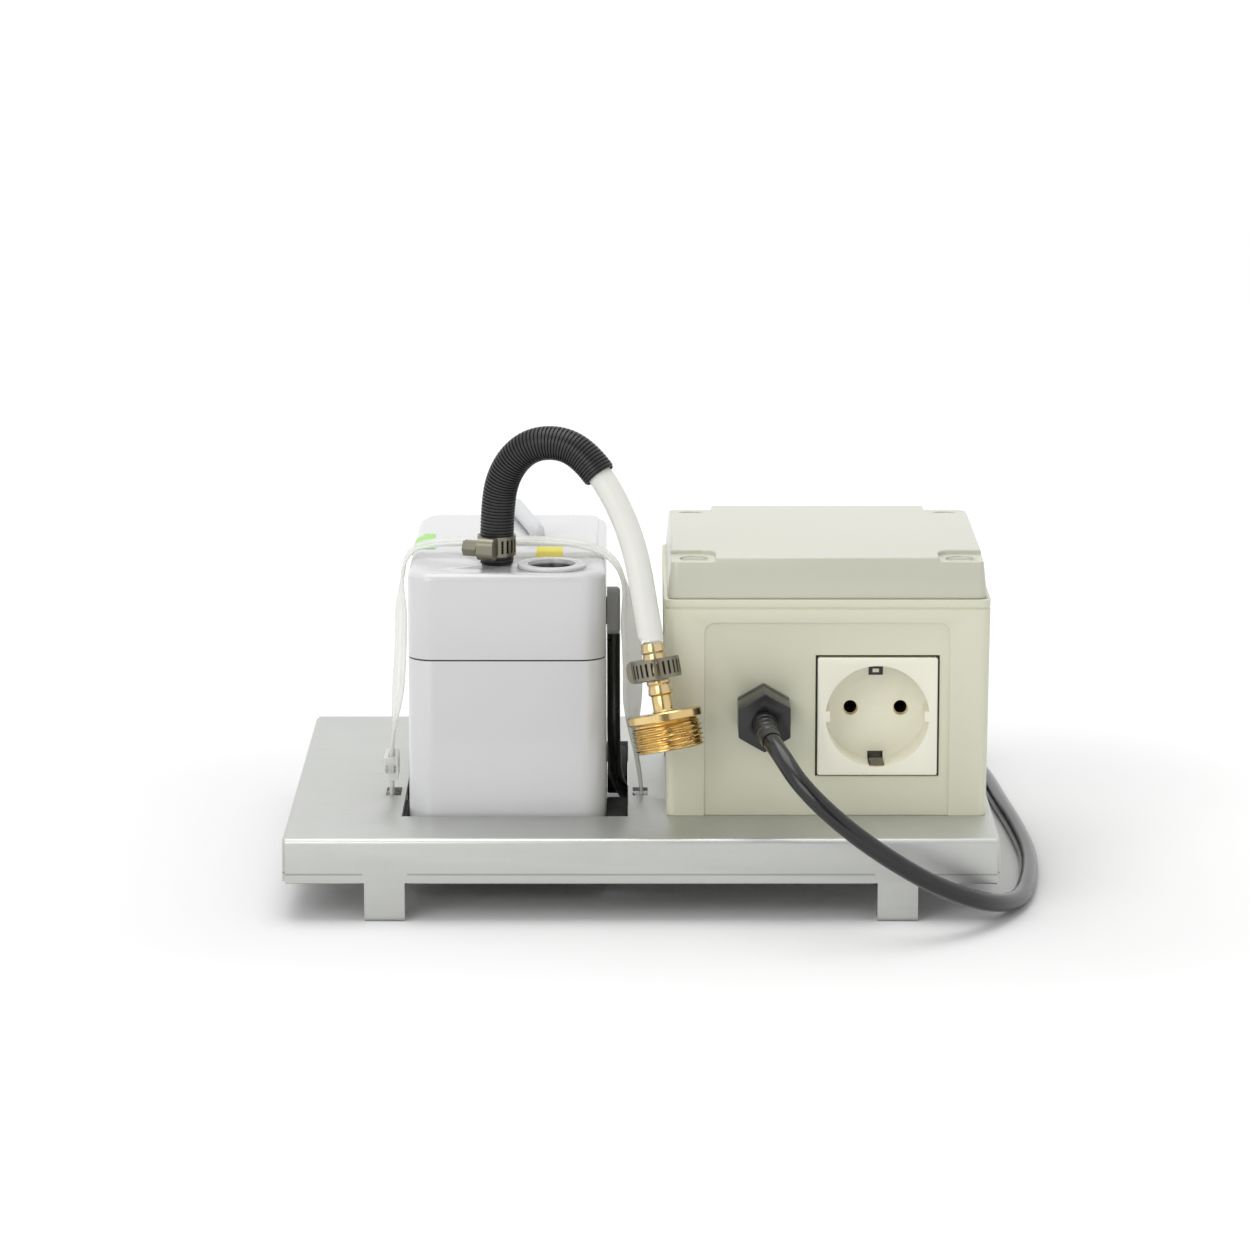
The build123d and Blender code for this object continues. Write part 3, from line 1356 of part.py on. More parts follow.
# ---- mains lead ------------------------------------------------------------------------------
lead_floor = lead_diameter / 2 + slip_gap
row_step = lead_diameter + 2 * slip_gap
coil_outer_turn = (coil_mean + (coil_rows - 1) * row_step) / 2
coil_height = coil_layers * row_step
coil_band = coil_rows * row_step
coil_start = (coil_x + coil_outer_turn, coil_y, lead_floor)
exit_angle = radians(coil_exit_angle)
exit_heading = Vector(-sin(exit_angle), cos(exit_angle), 0)
tail_start = Vector(coil_x + coil_outer_turn * cos(exit_angle),
                    coil_y + coil_outer_turn * sin(exit_angle), lead_floor + row_step)
tail_bend = tail_start + exit_heading * 15 + Vector(0.5, 0.8, -0.4)
plug_axis = Vector(exit_heading.X, exit_heading.Y, tan(radians(plug_tilt))).normalized()
plug_entry = tail_bend + plug_axis * plug_sleeve
plug_face = plug_sleeve + plug_length
mains_route = [
    (gland_x, panel_face - nut_start - 8.0, gland_z), (gland_x, -108.0, gland_z),
    (50.5, -125.0, 68.0), (58.5, -137.0, 57.5), (73.5, -141.5, 44.0), (91.0, -140.5, 31.0),
    (109.5, -134.0, 19.0), (128.0, -119.0, 9.5), (141.5, -92.0, lead_floor),
    (147.5, -60.0, lead_floor), (151.0, -20.0, lead_floor), (149.5, 26.0, lead_floor),
    (146.0, 72.0, lead_floor), (143.5, 114.0, lead_floor), (138.0, 148.0, lead_floor), coil_start]
mains_main = tube(mains_route, lead_diameter, name="mains_lead")
mains_tail = tube([tuple(tail_start), tuple(tail_bend), tuple(plug_entry)], lead_diameter,
                  name="mains_lead tail")
with BuildPart() as mains_lead:
    add(mains_main.part)
    add(mains_tail.part)
finish(mains_lead, "mains_lead")
turns = coil_turns + coil_exit_angle / 360
print(f"coil: {turns:.2f} turns, {turns * pi * coil_mean:.0f} mm")

with BuildPart() as mains_coil:
    with BuildSketch(Plane.XZ.offset(-coil_y)):
        with Locations((coil_x + coil_mean / 2, coil_height / 2)):
            RectangleRounded(coil_band, coil_height, lead_diameter / 2)
    revolve(axis=Axis((coil_x, coil_y, 0), (0, 0, 1)))
finish(mains_coil, "mains_coil")

plug_side = Vector(0, 0, 1).cross(plug_axis).normalized()
plug_plane = Plane(plug_entry, x_dir=plug_side, z_dir=plug_axis)
mains_plug = turned([(0, 0), (plug_sleeve_start, 0), (plug_sleeve_end, plug_sleeve),
                     (plug_waist, plug_sleeve + plug_shoulder),
                     (plug_front / 2, plug_sleeve + plug_flare), (plug_front / 2, plug_face),
                     (0, plug_face)], plug_plane)
finish(mains_plug, "mains_plug")

with BuildPart() as plug_pins:
    with BuildSketch(plug_plane.offset(plug_face)):
        with GridLocations(pin_spacing, 1, 2, 1):
            Circle(plug_pin / 2)
    extrude(amount=plug_pin_length)
finish(plug_pins, "plug_pins")
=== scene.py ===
import json
import math

import bmesh
import bpy
from mathutils import Matrix, Quaternion, Vector
from mathutils.bvhtree import BVHTree


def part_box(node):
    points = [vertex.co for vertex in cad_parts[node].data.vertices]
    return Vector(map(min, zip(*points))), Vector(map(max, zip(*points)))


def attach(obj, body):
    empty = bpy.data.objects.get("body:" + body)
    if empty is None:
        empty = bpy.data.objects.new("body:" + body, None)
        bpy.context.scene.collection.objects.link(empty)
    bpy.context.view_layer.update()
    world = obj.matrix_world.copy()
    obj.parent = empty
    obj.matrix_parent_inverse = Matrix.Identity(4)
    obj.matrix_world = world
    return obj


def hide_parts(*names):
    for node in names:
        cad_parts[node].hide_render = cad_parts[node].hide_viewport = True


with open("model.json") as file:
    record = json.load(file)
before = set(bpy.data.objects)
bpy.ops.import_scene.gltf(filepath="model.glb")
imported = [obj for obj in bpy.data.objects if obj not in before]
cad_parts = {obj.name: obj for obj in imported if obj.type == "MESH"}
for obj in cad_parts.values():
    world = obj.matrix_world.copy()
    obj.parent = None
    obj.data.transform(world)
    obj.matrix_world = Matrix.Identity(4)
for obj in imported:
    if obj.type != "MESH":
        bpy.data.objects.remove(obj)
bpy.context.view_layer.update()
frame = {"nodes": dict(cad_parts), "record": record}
nodes = frame["nodes"]
print("frame loaded:", len(nodes), "nodes")


def placed(name, data):
    # a new object, linked into the scene
    made = bpy.data.objects.new(name, data)
    bpy.context.scene.collection.objects.link(made)
    return made


# camera: a long lens a little above the object, looking at its front
camera = {"place": (-0.0045, -1.952, 0.4745), "tilt": 11.1, "lens": 147.28, "sensor": 36,
          "shift": (-0.0032, -0.0012)}
eye = placed("camera", bpy.data.cameras.new("camera"))
eye.location = camera["place"]
eye.rotation_euler = (math.radians(90 - camera["tilt"]), 0, 0)
eye.data.lens = camera["lens"]
eye.data.sensor_width = camera["sensor"]
eye.data.shift_x, eye.data.shift_y = camera["shift"]
bpy.context.scene.camera = eye
bpy.context.scene.view_settings.view_transform = "Standard"


class Wire:
    # a shader socket that takes part in sums; each operator adds one Math node
    def __init__(self, finish, socket):
        self.finish = finish
        self.socket = socket

    def maths(self, operation, *others):
        values = dict(enumerate((self, *others)))
        return self.finish.node("ShaderNodeMath", {"operation": operation}, values)

    def __add__(self, other):
        return self.maths("ADD", other)

    def __sub__(self, other):
        return self.maths("SUBTRACT", other)

    def __mul__(self, other):
        return self.maths("MULTIPLY", other)

    def __pow__(self, other):
        return self.maths("POWER", other)

    def __rsub__(self, other):
        return self.finish.node("ShaderNodeMath", {"operation": "SUBTRACT"}, {0: other, 1: self})

    __radd__ = __add__
    __rmul__ = __mul__

    def step(self, low, high):
        # 0 below low, 1 above high, smooth between
        return self.finish.node("ShaderNodeMapRange", {"interpolation_type": "SMOOTHSTEP"},
                                {"Value": self, "From Min": low, "From Max": high})


class Finish:
    # a shader tree in the making: a new material's, or that of the world it is given
    def __init__(self, name, owner=None):
        self.owner = owner or bpy.data.materials.new(name)
        self.owner.use_nodes = True
        self.tree = self.owner.node_tree
        self.tree.nodes.clear()

    def node(self, kind, settings=None, values=None, out=0):
        # the settings go first, because a node's sockets can depend on them
        made = self.tree.nodes.new(kind)
        for key, value in (settings or {}).items():
            setattr(made, key, value)
        for key, value in (values or {}).items():
            if isinstance(value, Wire):
                self.tree.links.new(value.socket, made.inputs[key])
            else:
                made.inputs[key].default_value = value
        return Wire(self, made.outputs[out]) if made.outputs else None

    def place(self, stretch=(1, 1, 1)):
        spot = self.node("ShaderNodeTexCoord", out="Object")
        return self.node("ShaderNodeMapping", None, {"Vector": spot, "Scale": stretch})

    def axis(self, letter, space="Object"):
        # one coordinate of the point, in metres
        spot = self.node("ShaderNodeTexCoord", out=space)
        return self.node("ShaderNodeSeparateXYZ", None, {"Vector": spot}, out=letter)

    def noise(self, scale, detail=3, stretch=(1, 1, 1), rough=0.5, out=0):
        return self.node("ShaderNodeTexNoise", None,
                         {"Vector": self.place(stretch), "Scale": scale, "Detail": detail,
                          "Roughness": rough}, out)

    def rayIs(self, kind):
        return self.node("ShaderNodeLightPath", out="Is " + kind + " Ray")

    def colour(self, value):
        return value if isinstance(value, Wire) else (*value, 1)

    def blend(self, factor, first, second):
        return self.node("ShaderNodeMix", {"data_type": "RGBA"},
                         {"Factor": factor, 6: self.colour(first), 7: self.colour(second)}, out=2)

    def bump(self, height, depth, strength=0.5):
        return self.node("ShaderNodeBump", None,
                         {"Height": height, "Distance": depth, "Strength": strength})

    def surface(self, colour, rough, more):
        # closes the tree; more holds the other sockets by their own names
        shader = self.node("ShaderNodeBsdfPrincipled", None,
                           {"Base Color": self.colour(colour), "Roughness": rough, **more})
        self.node("ShaderNodeOutputMaterial", None, {"Surface": shader})
        return self.owner


def shaded(colour, factor):
    return tuple(min(channel * factor, 1.0) for channel in colour)


# the front flange's folded hem: painted shade, a thin dark line along the fold between the two tabs
hemShade = {"height": 0.0180, "line": 0.00045, "tabStart": 0.0870, "tabEnd": 0.1032, "soft": 0.0004,
       "strength": 0.55, "colour": (0.20, 0.205, 0.18)}


def galvanised():
    # zinc crystals of a few millimetres, faint rolling lines and handling marks, and a painted
    # shade line at the hem
    f = Finish("galvanised")
    swirl = f.noise(260.0, 2, out="Color")
    push = f.node("ShaderNodeVectorMath", {"operation": "SCALE"}, {0: swirl, "Scale": 0.0016})
    warped = f.node("ShaderNodeVectorMath", {"operation": "ADD"}, {0: f.place(), 1: push})
    crystal = f.node("ShaderNodeTexVoronoi", None, {"Vector": warped, "Scale": 170.0}, out="Color")
    shade = f.node("ShaderNodeSeparateColor", None, {"Color": crystal}, out="Red")
    rolling = f.noise(30.0, 5, (1.0, 24.0, 24.0))
    cloud = f.noise(11.0, 4)
    marks = f.noise(55.0, 6, (1.0, 3.0, 1.0), 0.7).step(0.58, 0.72)
    tone = shade * 0.12 + rolling * 0.30 + cloud * 0.58
    base = f.blend(tone, (0.505, 0.515, 0.49), (0.625, 0.635, 0.615))
    base = f.blend(marks * 0.25, base, (0.44, 0.45, 0.43))
    # painted shade along the hem's fold, left off the tabs
    aside = f.axis("X").maths("ABSOLUTE")
    fromLine = (f.axis("Z") - hemShade["height"]).maths("ABSOLUTE")
    onTab = (aside.step(hemShade["tabStart"] - hemShade["soft"], hemShade["tabStart"])
             * (1 - aside.step(hemShade["tabEnd"], hemShade["tabEnd"] + hemShade["soft"])))
    onHemShade = 1 - fromLine.step(hemShade["line"] * 0.4, hemShade["line"])
    base = f.blend(onHemShade * (1 - onTab) * hemShade["strength"], base, hemShade["colour"])
    rough = 0.36 + shade * 0.04 + cloud * 0.10 + marks * 0.08
    return f.surface(base, rough, {"Metallic": 0.92,
                                   "Normal": f.bump(shade * 0.4 + rolling, 0.00008, 0.2)})


def moulded(name, colour, rough, grain, depth, coat=0.0, uneven=0.03, bore=None):
    # plain plastic: fine mould texture, slightly uneven colour and gloss; a given bore gets painted
    # shade below its rim
    f = Finish(name)
    cloud = f.noise(18.0, 4)
    base = f.blend(cloud, shaded(colour, 1 - 2 * uneven), shaded(colour, 1 + uneven))
    if bore:
        # painted shade down the bore: dark inside its radius and below its rim
        across = ((f.axis("X") - bore["x"]) ** 2.0 + (f.axis("Y") - bore["y"]) ** 2.0) ** 0.5
        inside = 1 - across.step(bore["radius"], bore["radius"] + bore["fade"])
        deepShade = 1 - f.axis("Z").step(bore["top"] - bore["depth"], bore["top"])
        base = f.blend(inside * deepShade, base, bore["colour"])
    return f.surface(base, rough - 0.06 + cloud * 0.12,
                     {"Coat Weight": coat, "Normal": f.bump(f.noise(grain, 2), depth)})


def clear(name, colour, rough, alpha, waviness, thin=None, pitShade=None):
    # see-through plastic whose wall reads milky: clearer where it is stretched thin, and with
    # painted shade, dark and opaque, in its small pits
    f = Finish(name)
    base = f.blend(f.noise(60.0, 3), shaded(colour, 0.93), colour)
    if thin:
        thick = f.axis("Z").step(thin["low"], thin["high"])
        alpha = thin["alpha"] + thick * (alpha - thin["alpha"])
    # painted shade in the pits: dark, and opaque there
    if pitShade:
        inside = 1.0
        for letter in "XYZ":
            centre, half = pitShade[letter]
            outside = (f.axis(letter) - centre).maths("ABSOLUTE").step(half, half + pitShade["fade"])
            inside = (1 - outside) * inside
        base = f.blend(inside, base, pitShade["colour"])
        alpha = inside.maths("MAXIMUM", alpha)
    return f.surface(base, rough, {"Alpha": alpha, "IOR": 1.45,
                                   "Normal": f.bump(f.noise(120.0, 2), waviness, 0.4)})


def brass():
    # turned brass, tarnished in patches
    f = Finish("brass")
    turning = f.noise(40.0, 4, (1.0, 1.0, 30.0))
    tarnish = f.noise(45.0, 5, rough=0.7).step(0.50, 0.80)
    base = f.blend(f.noise(90.0, 5), (0.62, 0.45, 0.19), (0.82, 0.63, 0.32))
    base = f.blend(tarnish * 0.50, base, (0.30, 0.21, 0.09))
    return f.surface(base, 0.15 + tarnish * 0.20 + turning * 0.10,
                     {"Metallic": 1.0, "Normal": f.bump(turning, 0.00006)})


def metal(name, colour, rough, streak=(1, 1, 12), depth=0.00004):
    # ground metal with fine lines; streak is how much closer they lie along each axis
    f = Finish(name)
    lines = f.noise(160.0, 4, streak)
    cloud = f.noise(70.0, 4)
    return f.surface(f.blend(cloud * 0.7 + lines * 0.3, shaded(colour, 0.72), colour),
                     rough + cloud * 0.14, {"Metallic": 1.0, "Normal": f.bump(lines, depth)})


def rubbery(name, colour, rough, grain=900.0):
    # rubber and soft plastic with a little dust
    f = Finish(name)
    dust = f.noise(130.0, 5, rough=0.7).step(0.50, 0.85)
    base = f.blend(dust * 0.35, colour, tuple(channel + 0.05 for channel in colour))
    return f.surface(base, rough + dust * 0.12, {"Normal": f.bump(f.noise(grain, 2), 0.00004)})


# painted shade in the inlet's bore: its axis, radius, rim height and how far below the rim the
# shade starts
inletBoreShade = {"x": -0.0337, "y": -0.053, "radius": 0.0091, "fade": 0.0002, "top": 0.1242,
             "depth": 0.0012, "colour": (0.045, 0.042, 0.036)}
hoseEnd = {"alpha": 0.07, "low": 0.1005, "high": 0.1035}  # below low the stretched wall is clear
# painted shade for the buckle's slots
buckleSlotShade = {"X": (-0.0958, 0.0020), "Y": (-0.0378, 0.00052), "Z": (0.042, 0.0015),
               "fade": 0.0001, "colour": (0.02, 0.02, 0.02)}  # centre and half size on each axis

zinc = galvanised()
pumpWhite = moulded("pumpWhite", (0.68, 0.68, 0.69), 0.24, 700.0, 0.000015, coat=0.5, uneven=0.008)
inletWhite = moulded("inletWhite", (0.68, 0.68, 0.69), 0.24, 700.0, 0.000015, coat=0.5,
                     uneven=0.008, bore=inletBoreShade)
tubeGrey = moulded("tubeGrey", (0.66, 0.67, 0.68), 0.35, 900.0, 0.00002)
boxGrey = moulded("boxGrey", (0.74, 0.74, 0.585), 0.40, 1500.0, 0.00003, uneven=0.015)
# the lid: a darker copy of the box's plastic, painted shade that tones down its lit top
lidShadedGrey = moulded("lidShadedGrey", (0.61, 0.61, 0.505), 0.30, 1500.0, 0.00003, coat=0.3, uneven=0.015)
foamGrey = moulded("foamGrey", (0.66, 0.66, 0.54), 0.8, 1800.0, 0.00008)
gapFillBlack = moulded("gapFillBlack", (0.012, 0.012, 0.012), 0.9, 1500.0, 0.0001)
cream = moulded("cream", (0.93, 0.91, 0.76), 0.30, 900.0, 0.00001, coat=0.3, uneven=0.012)
labelGreen = moulded("labelGreen", (0.34, 0.72, 0.16), 0.35, 900.0, 0.00001, uneven=0.02)
labelYellow = moulded("labelYellow", (0.82, 0.70, 0.01), 0.45, 900.0, 0.00001, uneven=0.02)
black = moulded("black", (0.012, 0.012, 0.012), 0.30, 1100.0, 0.00003, uneven=0.1)
sleeveBlack = moulded("sleeveBlack", (0.014, 0.014, 0.015), 0.42, 1100.0, 0.00002, uneven=0.1)
darkGrey = moulded("darkGrey", (0.10, 0.10, 0.105), 0.45, 900.0, 0.00003)
elbowGrey = moulded("elbowGrey", (0.36, 0.36, 0.37), 0.50, 900.0, 0.00003)
innerGrey = moulded("innerGrey", (0.28, 0.29, 0.31), 0.45, 900.0, 0.00003)
impellerBlack = moulded("impellerBlack", (0.04, 0.04, 0.045), 0.45, 900.0, 0.00003)
floatCream = moulded("floatCream", (0.78, 0.70, 0.48), 0.75, 500.0, 0.0001)
blockWhite = moulded("blockWhite", (0.82, 0.80, 0.74), 0.45, 900.0, 0.00003)
tapeYellow = moulded("tapeYellow", (0.62, 0.45, 0.12), 0.40, 300.0, 0.0001)
ferrite = moulded("ferrite", (0.05, 0.05, 0.055), 0.6, 700.0, 0.00005)
rubberBlack = rubbery("rubberBlack", (0.02, 0.02, 0.02), 0.55)
ballRubber = rubbery("ballRubber", (0.12, 0.05, 0.035), 0.6)
cableBlack = rubbery("cableBlack", (0.010, 0.010, 0.010), 0.20, 1400.0)
hoseMilk = clear("hoseMilk", (0.93, 0.93, 0.87), 0.28, 0.88, 0.00004, thin=hoseEnd)
strapClear = clear("strapClear", (0.95, 0.96, 0.91), 0.20, 0.55, 0.00006)
buckleClear = clear("buckleClear", (0.90, 0.91, 0.88), 0.16, 0.55, 0.00003, pitShade=buckleSlotShade)
brassWork = brass()
clampSteel = metal("clampSteel", (0.26, 0.245, 0.19), 0.25)
earthSteel = metal("earthSteel", (0.30, 0.29, 0.26), 0.30)
screwSteel = metal("screwSteel", (0.62, 0.61, 0.57), 0.28)
shaftSteel = metal("shaftSteel", (0.70, 0.71, 0.72), 0.18)
coreSteel = metal("coreSteel", (0.34, 0.34, 0.36), 0.40, (1, 1, 60), 0.0002)
bracketMetal = metal("bracketMetal", (0.66, 0.66, 0.68), 0.38)
bushBronze = metal("bushBronze", (0.58, 0.40, 0.20), 0.35)
contactBrass = metal("contactBrass", (0.74, 0.60, 0.32), 0.22)
nickel = metal("nickel", (0.80, 0.79, 0.76), 0.16)
print("finishes made")

# what each CAD node is made of
madeOf = {
    zinc: ["base_plate", "pump_cradle"],
    pumpWhite: ["pump_tank", "pump_cover"],
    inletWhite: ["inlet_tube"],
    tubeGrey: ["vent_tube"],
    foamGrey: ["lid_gasket"],
    rubberBlack: ["tank_seal", "gland_seal", "entry_grommet"],
    innerGrey: ["motor_deck", "pump_column", "chamber_cover", "riser_pipe", "valve_body",
                "float_guide", "discharge_spigot"],
    impellerBlack: ["impeller"],
    floatCream: ["level_float"],
    ferrite: ["float_magnet"],
    ballRubber: ["check_ball"],
    screwSteel: ["pump_screws", "box_screws"],
    coreSteel: ["motor_core"],
    tapeYellow: ["motor_coil"],
    bracketMetal: ["motor_brackets"],
    bushBronze: ["shaft_bushes"],
    shaftSteel: ["motor_rotor", "pump_shaft"],
    strapClear: ["strap"],
    buckleClear: ["strap_buckle"],
    black: ["gland_body", "gland_nut", "gland_locknut", "mains_plug"],
    hoseMilk: ["hose"],
    sleeveBlack: ["hose_sleeve"],
    brassWork: ["hose_fitting"],
    clampSteel: ["upper_clamp_band", "upper_clamp_screw", "lower_clamp_band",
                 "lower_clamp_screw"],
    boxGrey: ["box_body"],
    lidShadedGrey: ["box_lid", "lid_screw_front_left", "lid_screw_front_right",
              "lid_screw_back_left", "lid_screw_back_right"],
    cream: ["socket_insert"],
    darkGrey: ["socket_frame"],
    contactBrass: ["socket_contacts"],
    earthSteel: ["earth_clip"],
    blockWhite: ["terminal_block"],
    elbowGrey: ["lead_elbow"],
    cableBlack: ["pump_lead", "mains_lead", "mains_coil"],
    nickel: ["plug_pins"],
}
finishOf = {name: finish for finish, names in madeOf.items() for name in names}
for name, finish in finishOf.items():
    nodes[name].data.materials.clear()
    nodes[name].data.materials.append(finish)
bodyOf = {name: body for body, names in frame["record"]["behaviour"]["bodies"].items()
          for name in names}


def piece(name, mesh, node, finish=None, instead=True):
    # a finished piece: rides with the node's body, takes its slot and stands in its place
    mesh.materials.clear()
    mesh.materials.append(finish or finishOf[node])
    made = placed(name, mesh)
    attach(made, bodyOf[node])
    if instead:
        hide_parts(node)
    return made


def smooth(mesh, crease):
    # smooth all over, except where the surface turns by more than crease degrees
    mesh.polygons.foreach_set("use_smooth", [True] * len(mesh.polygons))
    mesh.set_sharp_from_angle(angle=math.radians(crease))


def plainMesh(rig):
    # what the modifiers make of an object, as a mesh of its own; the rig goes
    bpy.context.view_layer.update()
    evaluated = rig.evaluated_get(bpy.context.evaluated_depsgraph_get())
    mesh = bpy.data.meshes.new_from_object(evaluated)
    bpy.data.objects.remove(rig)
    return mesh


def meshOf(name, bm):
    mesh = bpy.data.meshes.new(name)
    bm.to_mesh(mesh)
    bm.free()
    return mesh


def joinRings(bm, rings):
    # faces from each ring of points to the next, and from the last back to the first
    for first, second in zip(rings, rings[1:] + rings[:1]):
        for k in range(len(first)):
            n = (k + 1) % len(first)
            bm.faces.new([first[k], first[n], second[n], second[k]])


def between(value):
    return min(max(value, 0.0), 1.0)


def cordLine(name, points):
    # the cord's own line: one open spline of degree two through its route
    curve = bpy.data.curves.new(name, "CURVE")
    curve.dimensions = "3D"
    curve.resolution_u = 24
    spline = curve.splines.new("NURBS")
    spline.points.add(len(points) - 1)
    for knot, point in zip(spline.points, points):
        knot.co = (*point, 1)
    spline.order_u = 3
    spline.use_endpoint_u = True
    return curve


def pathOf(curve):
    line = plainMesh(placed("rig", curve))
    return [vertex.co.copy() for vertex in line.vertices]


def evenPath(path, step):
    # the same path with its points a given step apart
    spaced = [path[0]]
    left = step
    for start, end in zip(path, path[1:]):
        run = (end - start).length
        while run > left:
            start = start.lerp(end, left / run)
            spaced.append(start)
            run -= left
            left = step
        left -= run
    return spaced


def lengthOf(path):
    return sum((b - a).length for a, b in zip(path, path[1:]))


def tubeMesh(name, path, outer, inner, sides):
    # a tube along the path; outer(distance) and inner(distance) are its radii there
    bm = bmesh.new()
    forward = (path[1] - path[0]).normalized()
    side = forward.orthogonal().normalized()
    angles = [2 * math.pi * k / sides for k in range(sides)]
    skin, bore, along = [], [], 0.0
    for index, point in enumerate(path):
        before, after = path[max(index - 1, 0)], path[min(index + 1, len(path) - 1)]
        turn = forward.rotation_difference((after - before).normalized())
        forward = (after - before).normalized()
        side = (turn @ side).normalized()
        across = forward.cross(side)
        if index:
            along += (point - before).length
        for rings, radius in ((skin, outer(along)), (bore, inner(along))):
            rings.append([bm.verts.new(point + radius * (math.cos(a) * side + math.sin(a) * across))
                          for a in angles])
    joinRings(bm, skin + bore[::-1])  # out along the skin and back along the bore
    mesh = meshOf(name, bm)
    smooth(mesh, 50)
    return mesh


def slab(name, low, high, edge):
    # a block with its edges rounded over
    bm = bmesh.new()
    bmesh.ops.create_cube(bm, size=1.0)
    for vertex in bm.verts:
        vertex.co = Vector([a + (b - a) * (c + 0.5) for a, b, c in zip(low, high, vertex.co)])
    bmesh.ops.bevel(bm, geom=bm.edges, offset=edge, segments=2, affect="EDGES", profile=0.5)
    mesh = meshOf(name, bm)
    smooth(mesh, 50)
    return mesh


def repeated(name, item, count, offset, turn, finish):
    # copies of item in a row, each moved by offset and turned about z by turn from the last
    tree = bpy.data.node_groups.new(name + "Row", "GeometryNodeTree")
    tree.interface.new_socket("Item", in_out="INPUT", socket_type="NodeSocketGeometry")
    sockets = {key: tree.interface.new_socket(key, in_out="INPUT", socket_type=kind)
               for key, kind in (("Count", "NodeSocketInt"), ("Offset", "NodeSocketVector"),
                                 ("Turn", "NodeSocketFloat"), ("Finish", "NodeSocketMaterial"))}
    tree.interface.new_socket("Row", in_out="OUTPUT", socket_type="NodeSocketGeometry")
    steps = {key: tree.nodes.new(kind) for key, kind in (
        ("given", "NodeGroupInput"), ("line", "GeometryNodeMeshLine"),
        ("number", "GeometryNodeInputIndex"), ("angle", "ShaderNodeMath"),
        ("aboutZ", "ShaderNodeCombineXYZ"), ("facing", "FunctionNodeEulerToRotation"),
        ("copies", "GeometryNodeInstanceOnPoints"), ("real", "GeometryNodeRealizeInstances"),
        ("coated", "GeometryNodeSetMaterial"), ("result", "NodeGroupOutput"))}
    steps["angle"].operation = "MULTIPLY"
    for source, output, target, entry in (
            ("given", "Count", "line", "Count"), ("given", "Offset", "line", "Offset"),
            ("number", 0, "angle", 0), ("given", "Turn", "angle", 1),
            ("angle", 0, "aboutZ", "Z"), ("aboutZ", 0, "facing", 0),
            ("line", 0, "copies", "Points"), ("given", "Item", "copies", "Instance"),
            ("facing", 0, "copies", "Rotation"), ("copies", 0, "real", 0),
            ("real", 0, "coated", "Geometry"), ("given", "Finish", "coated", "Material"),
            ("coated", 0, "result", "Row")):
        tree.links.new(steps[source].outputs[output], steps[target].inputs[entry])
    rig = placed("rig", item)
    row = rig.modifiers.new("row", "NODES")
    row.node_group = tree
    for key, value in (("Count", count), ("Offset", offset), ("Turn", turn), ("Finish", finish)):
        row[sockets[key].identifier] = value
    return plainMesh(rig)


# discharge hose: up from the spigot, over in an arch and down to the brass connector, whose barbs
# stretch its end; a ribbed sleeve covers the first half
hose = {"outer": 0.0095, "bore": 0.0065, "step": 0.0015, "sides": 28,
        "stretch": 0.00133, "stretchLength": 0.0235, "stretchRun": 0.003,
        "route": [(-0.0545, -0.049, 0.1243), (-0.0545, -0.049, 0.147), (-0.0508, -0.052, 0.1615),
                  (-0.042, -0.056, 0.171), (-0.030, -0.0595, 0.1725), (-0.0205, -0.063, 0.1675),
                  (-0.0105, -0.0685, 0.1545), (-0.0022, -0.074, 0.1355),
                  (0.00219, -0.08138, 0.11032), (0.00741, -0.08708, 0.08133)]}
hosePath = evenPath(pathOf(cordLine("hoseLine", hose["route"])), hose["step"])
hoseLength = lengthOf(hosePath)


def hoseBore(along):
    onBarbs = between((along - hoseLength + hose["stretchLength"]) / hose["stretchRun"])
    return hose["bore"] / 2 + hose["stretch"] * onBarbs


hoseMesh = tubeMesh("hoseTube", hosePath, lambda along: hose["outer"] / 2, hoseBore, hose["sides"])
hoseTube = piece("hoseTube", hoseMesh, "hose")

sleeve = {"outer": 0.0128, "wall": 0.0009, "length": 0.083, "sides": 32, "pitch": 0.00125,
          "depth": 0.00065, "flat": 0.28, "slope": 0.10, "ringsPerRib": 8, "lip": 0.0012}


def sleeveRadius(along):
    # flat-topped ribs with narrow grooves between them, and a rounded lip at each end
    fromRib = abs((along / sleeve["pitch"]) % 1.0 - 0.5)
    groove = between((fromRib - sleeve["flat"]) / sleeve["slope"])
    lip = min(along, max(sleeve["length"] - along, 0.0), sleeve["lip"]) / sleeve["lip"]
    return sleeve["outer"] / 2 - sleeve["depth"] * max(groove, 1 - math.sqrt(lip))


sleeveStep = sleeve["pitch"] / sleeve["ringsPerRib"]
sleevePath = evenPath(pathOf(cordLine("sleeveLine", hose["route"])), sleeveStep)
sleevePath = sleevePath[:int(sleeve["length"] / sleeveStep)]
sleeveMesh = tubeMesh("hoseSleeve", sleevePath, sleeveRadius,
                      lambda along: sleeve["outer"] / 2 - sleeve["wall"], sleeve["sides"])
hoseSleeve = piece("hoseSleeve", sleeveMesh, "hose_sleeve")
print("hose laid:", round(hoseLength, 4), "m")

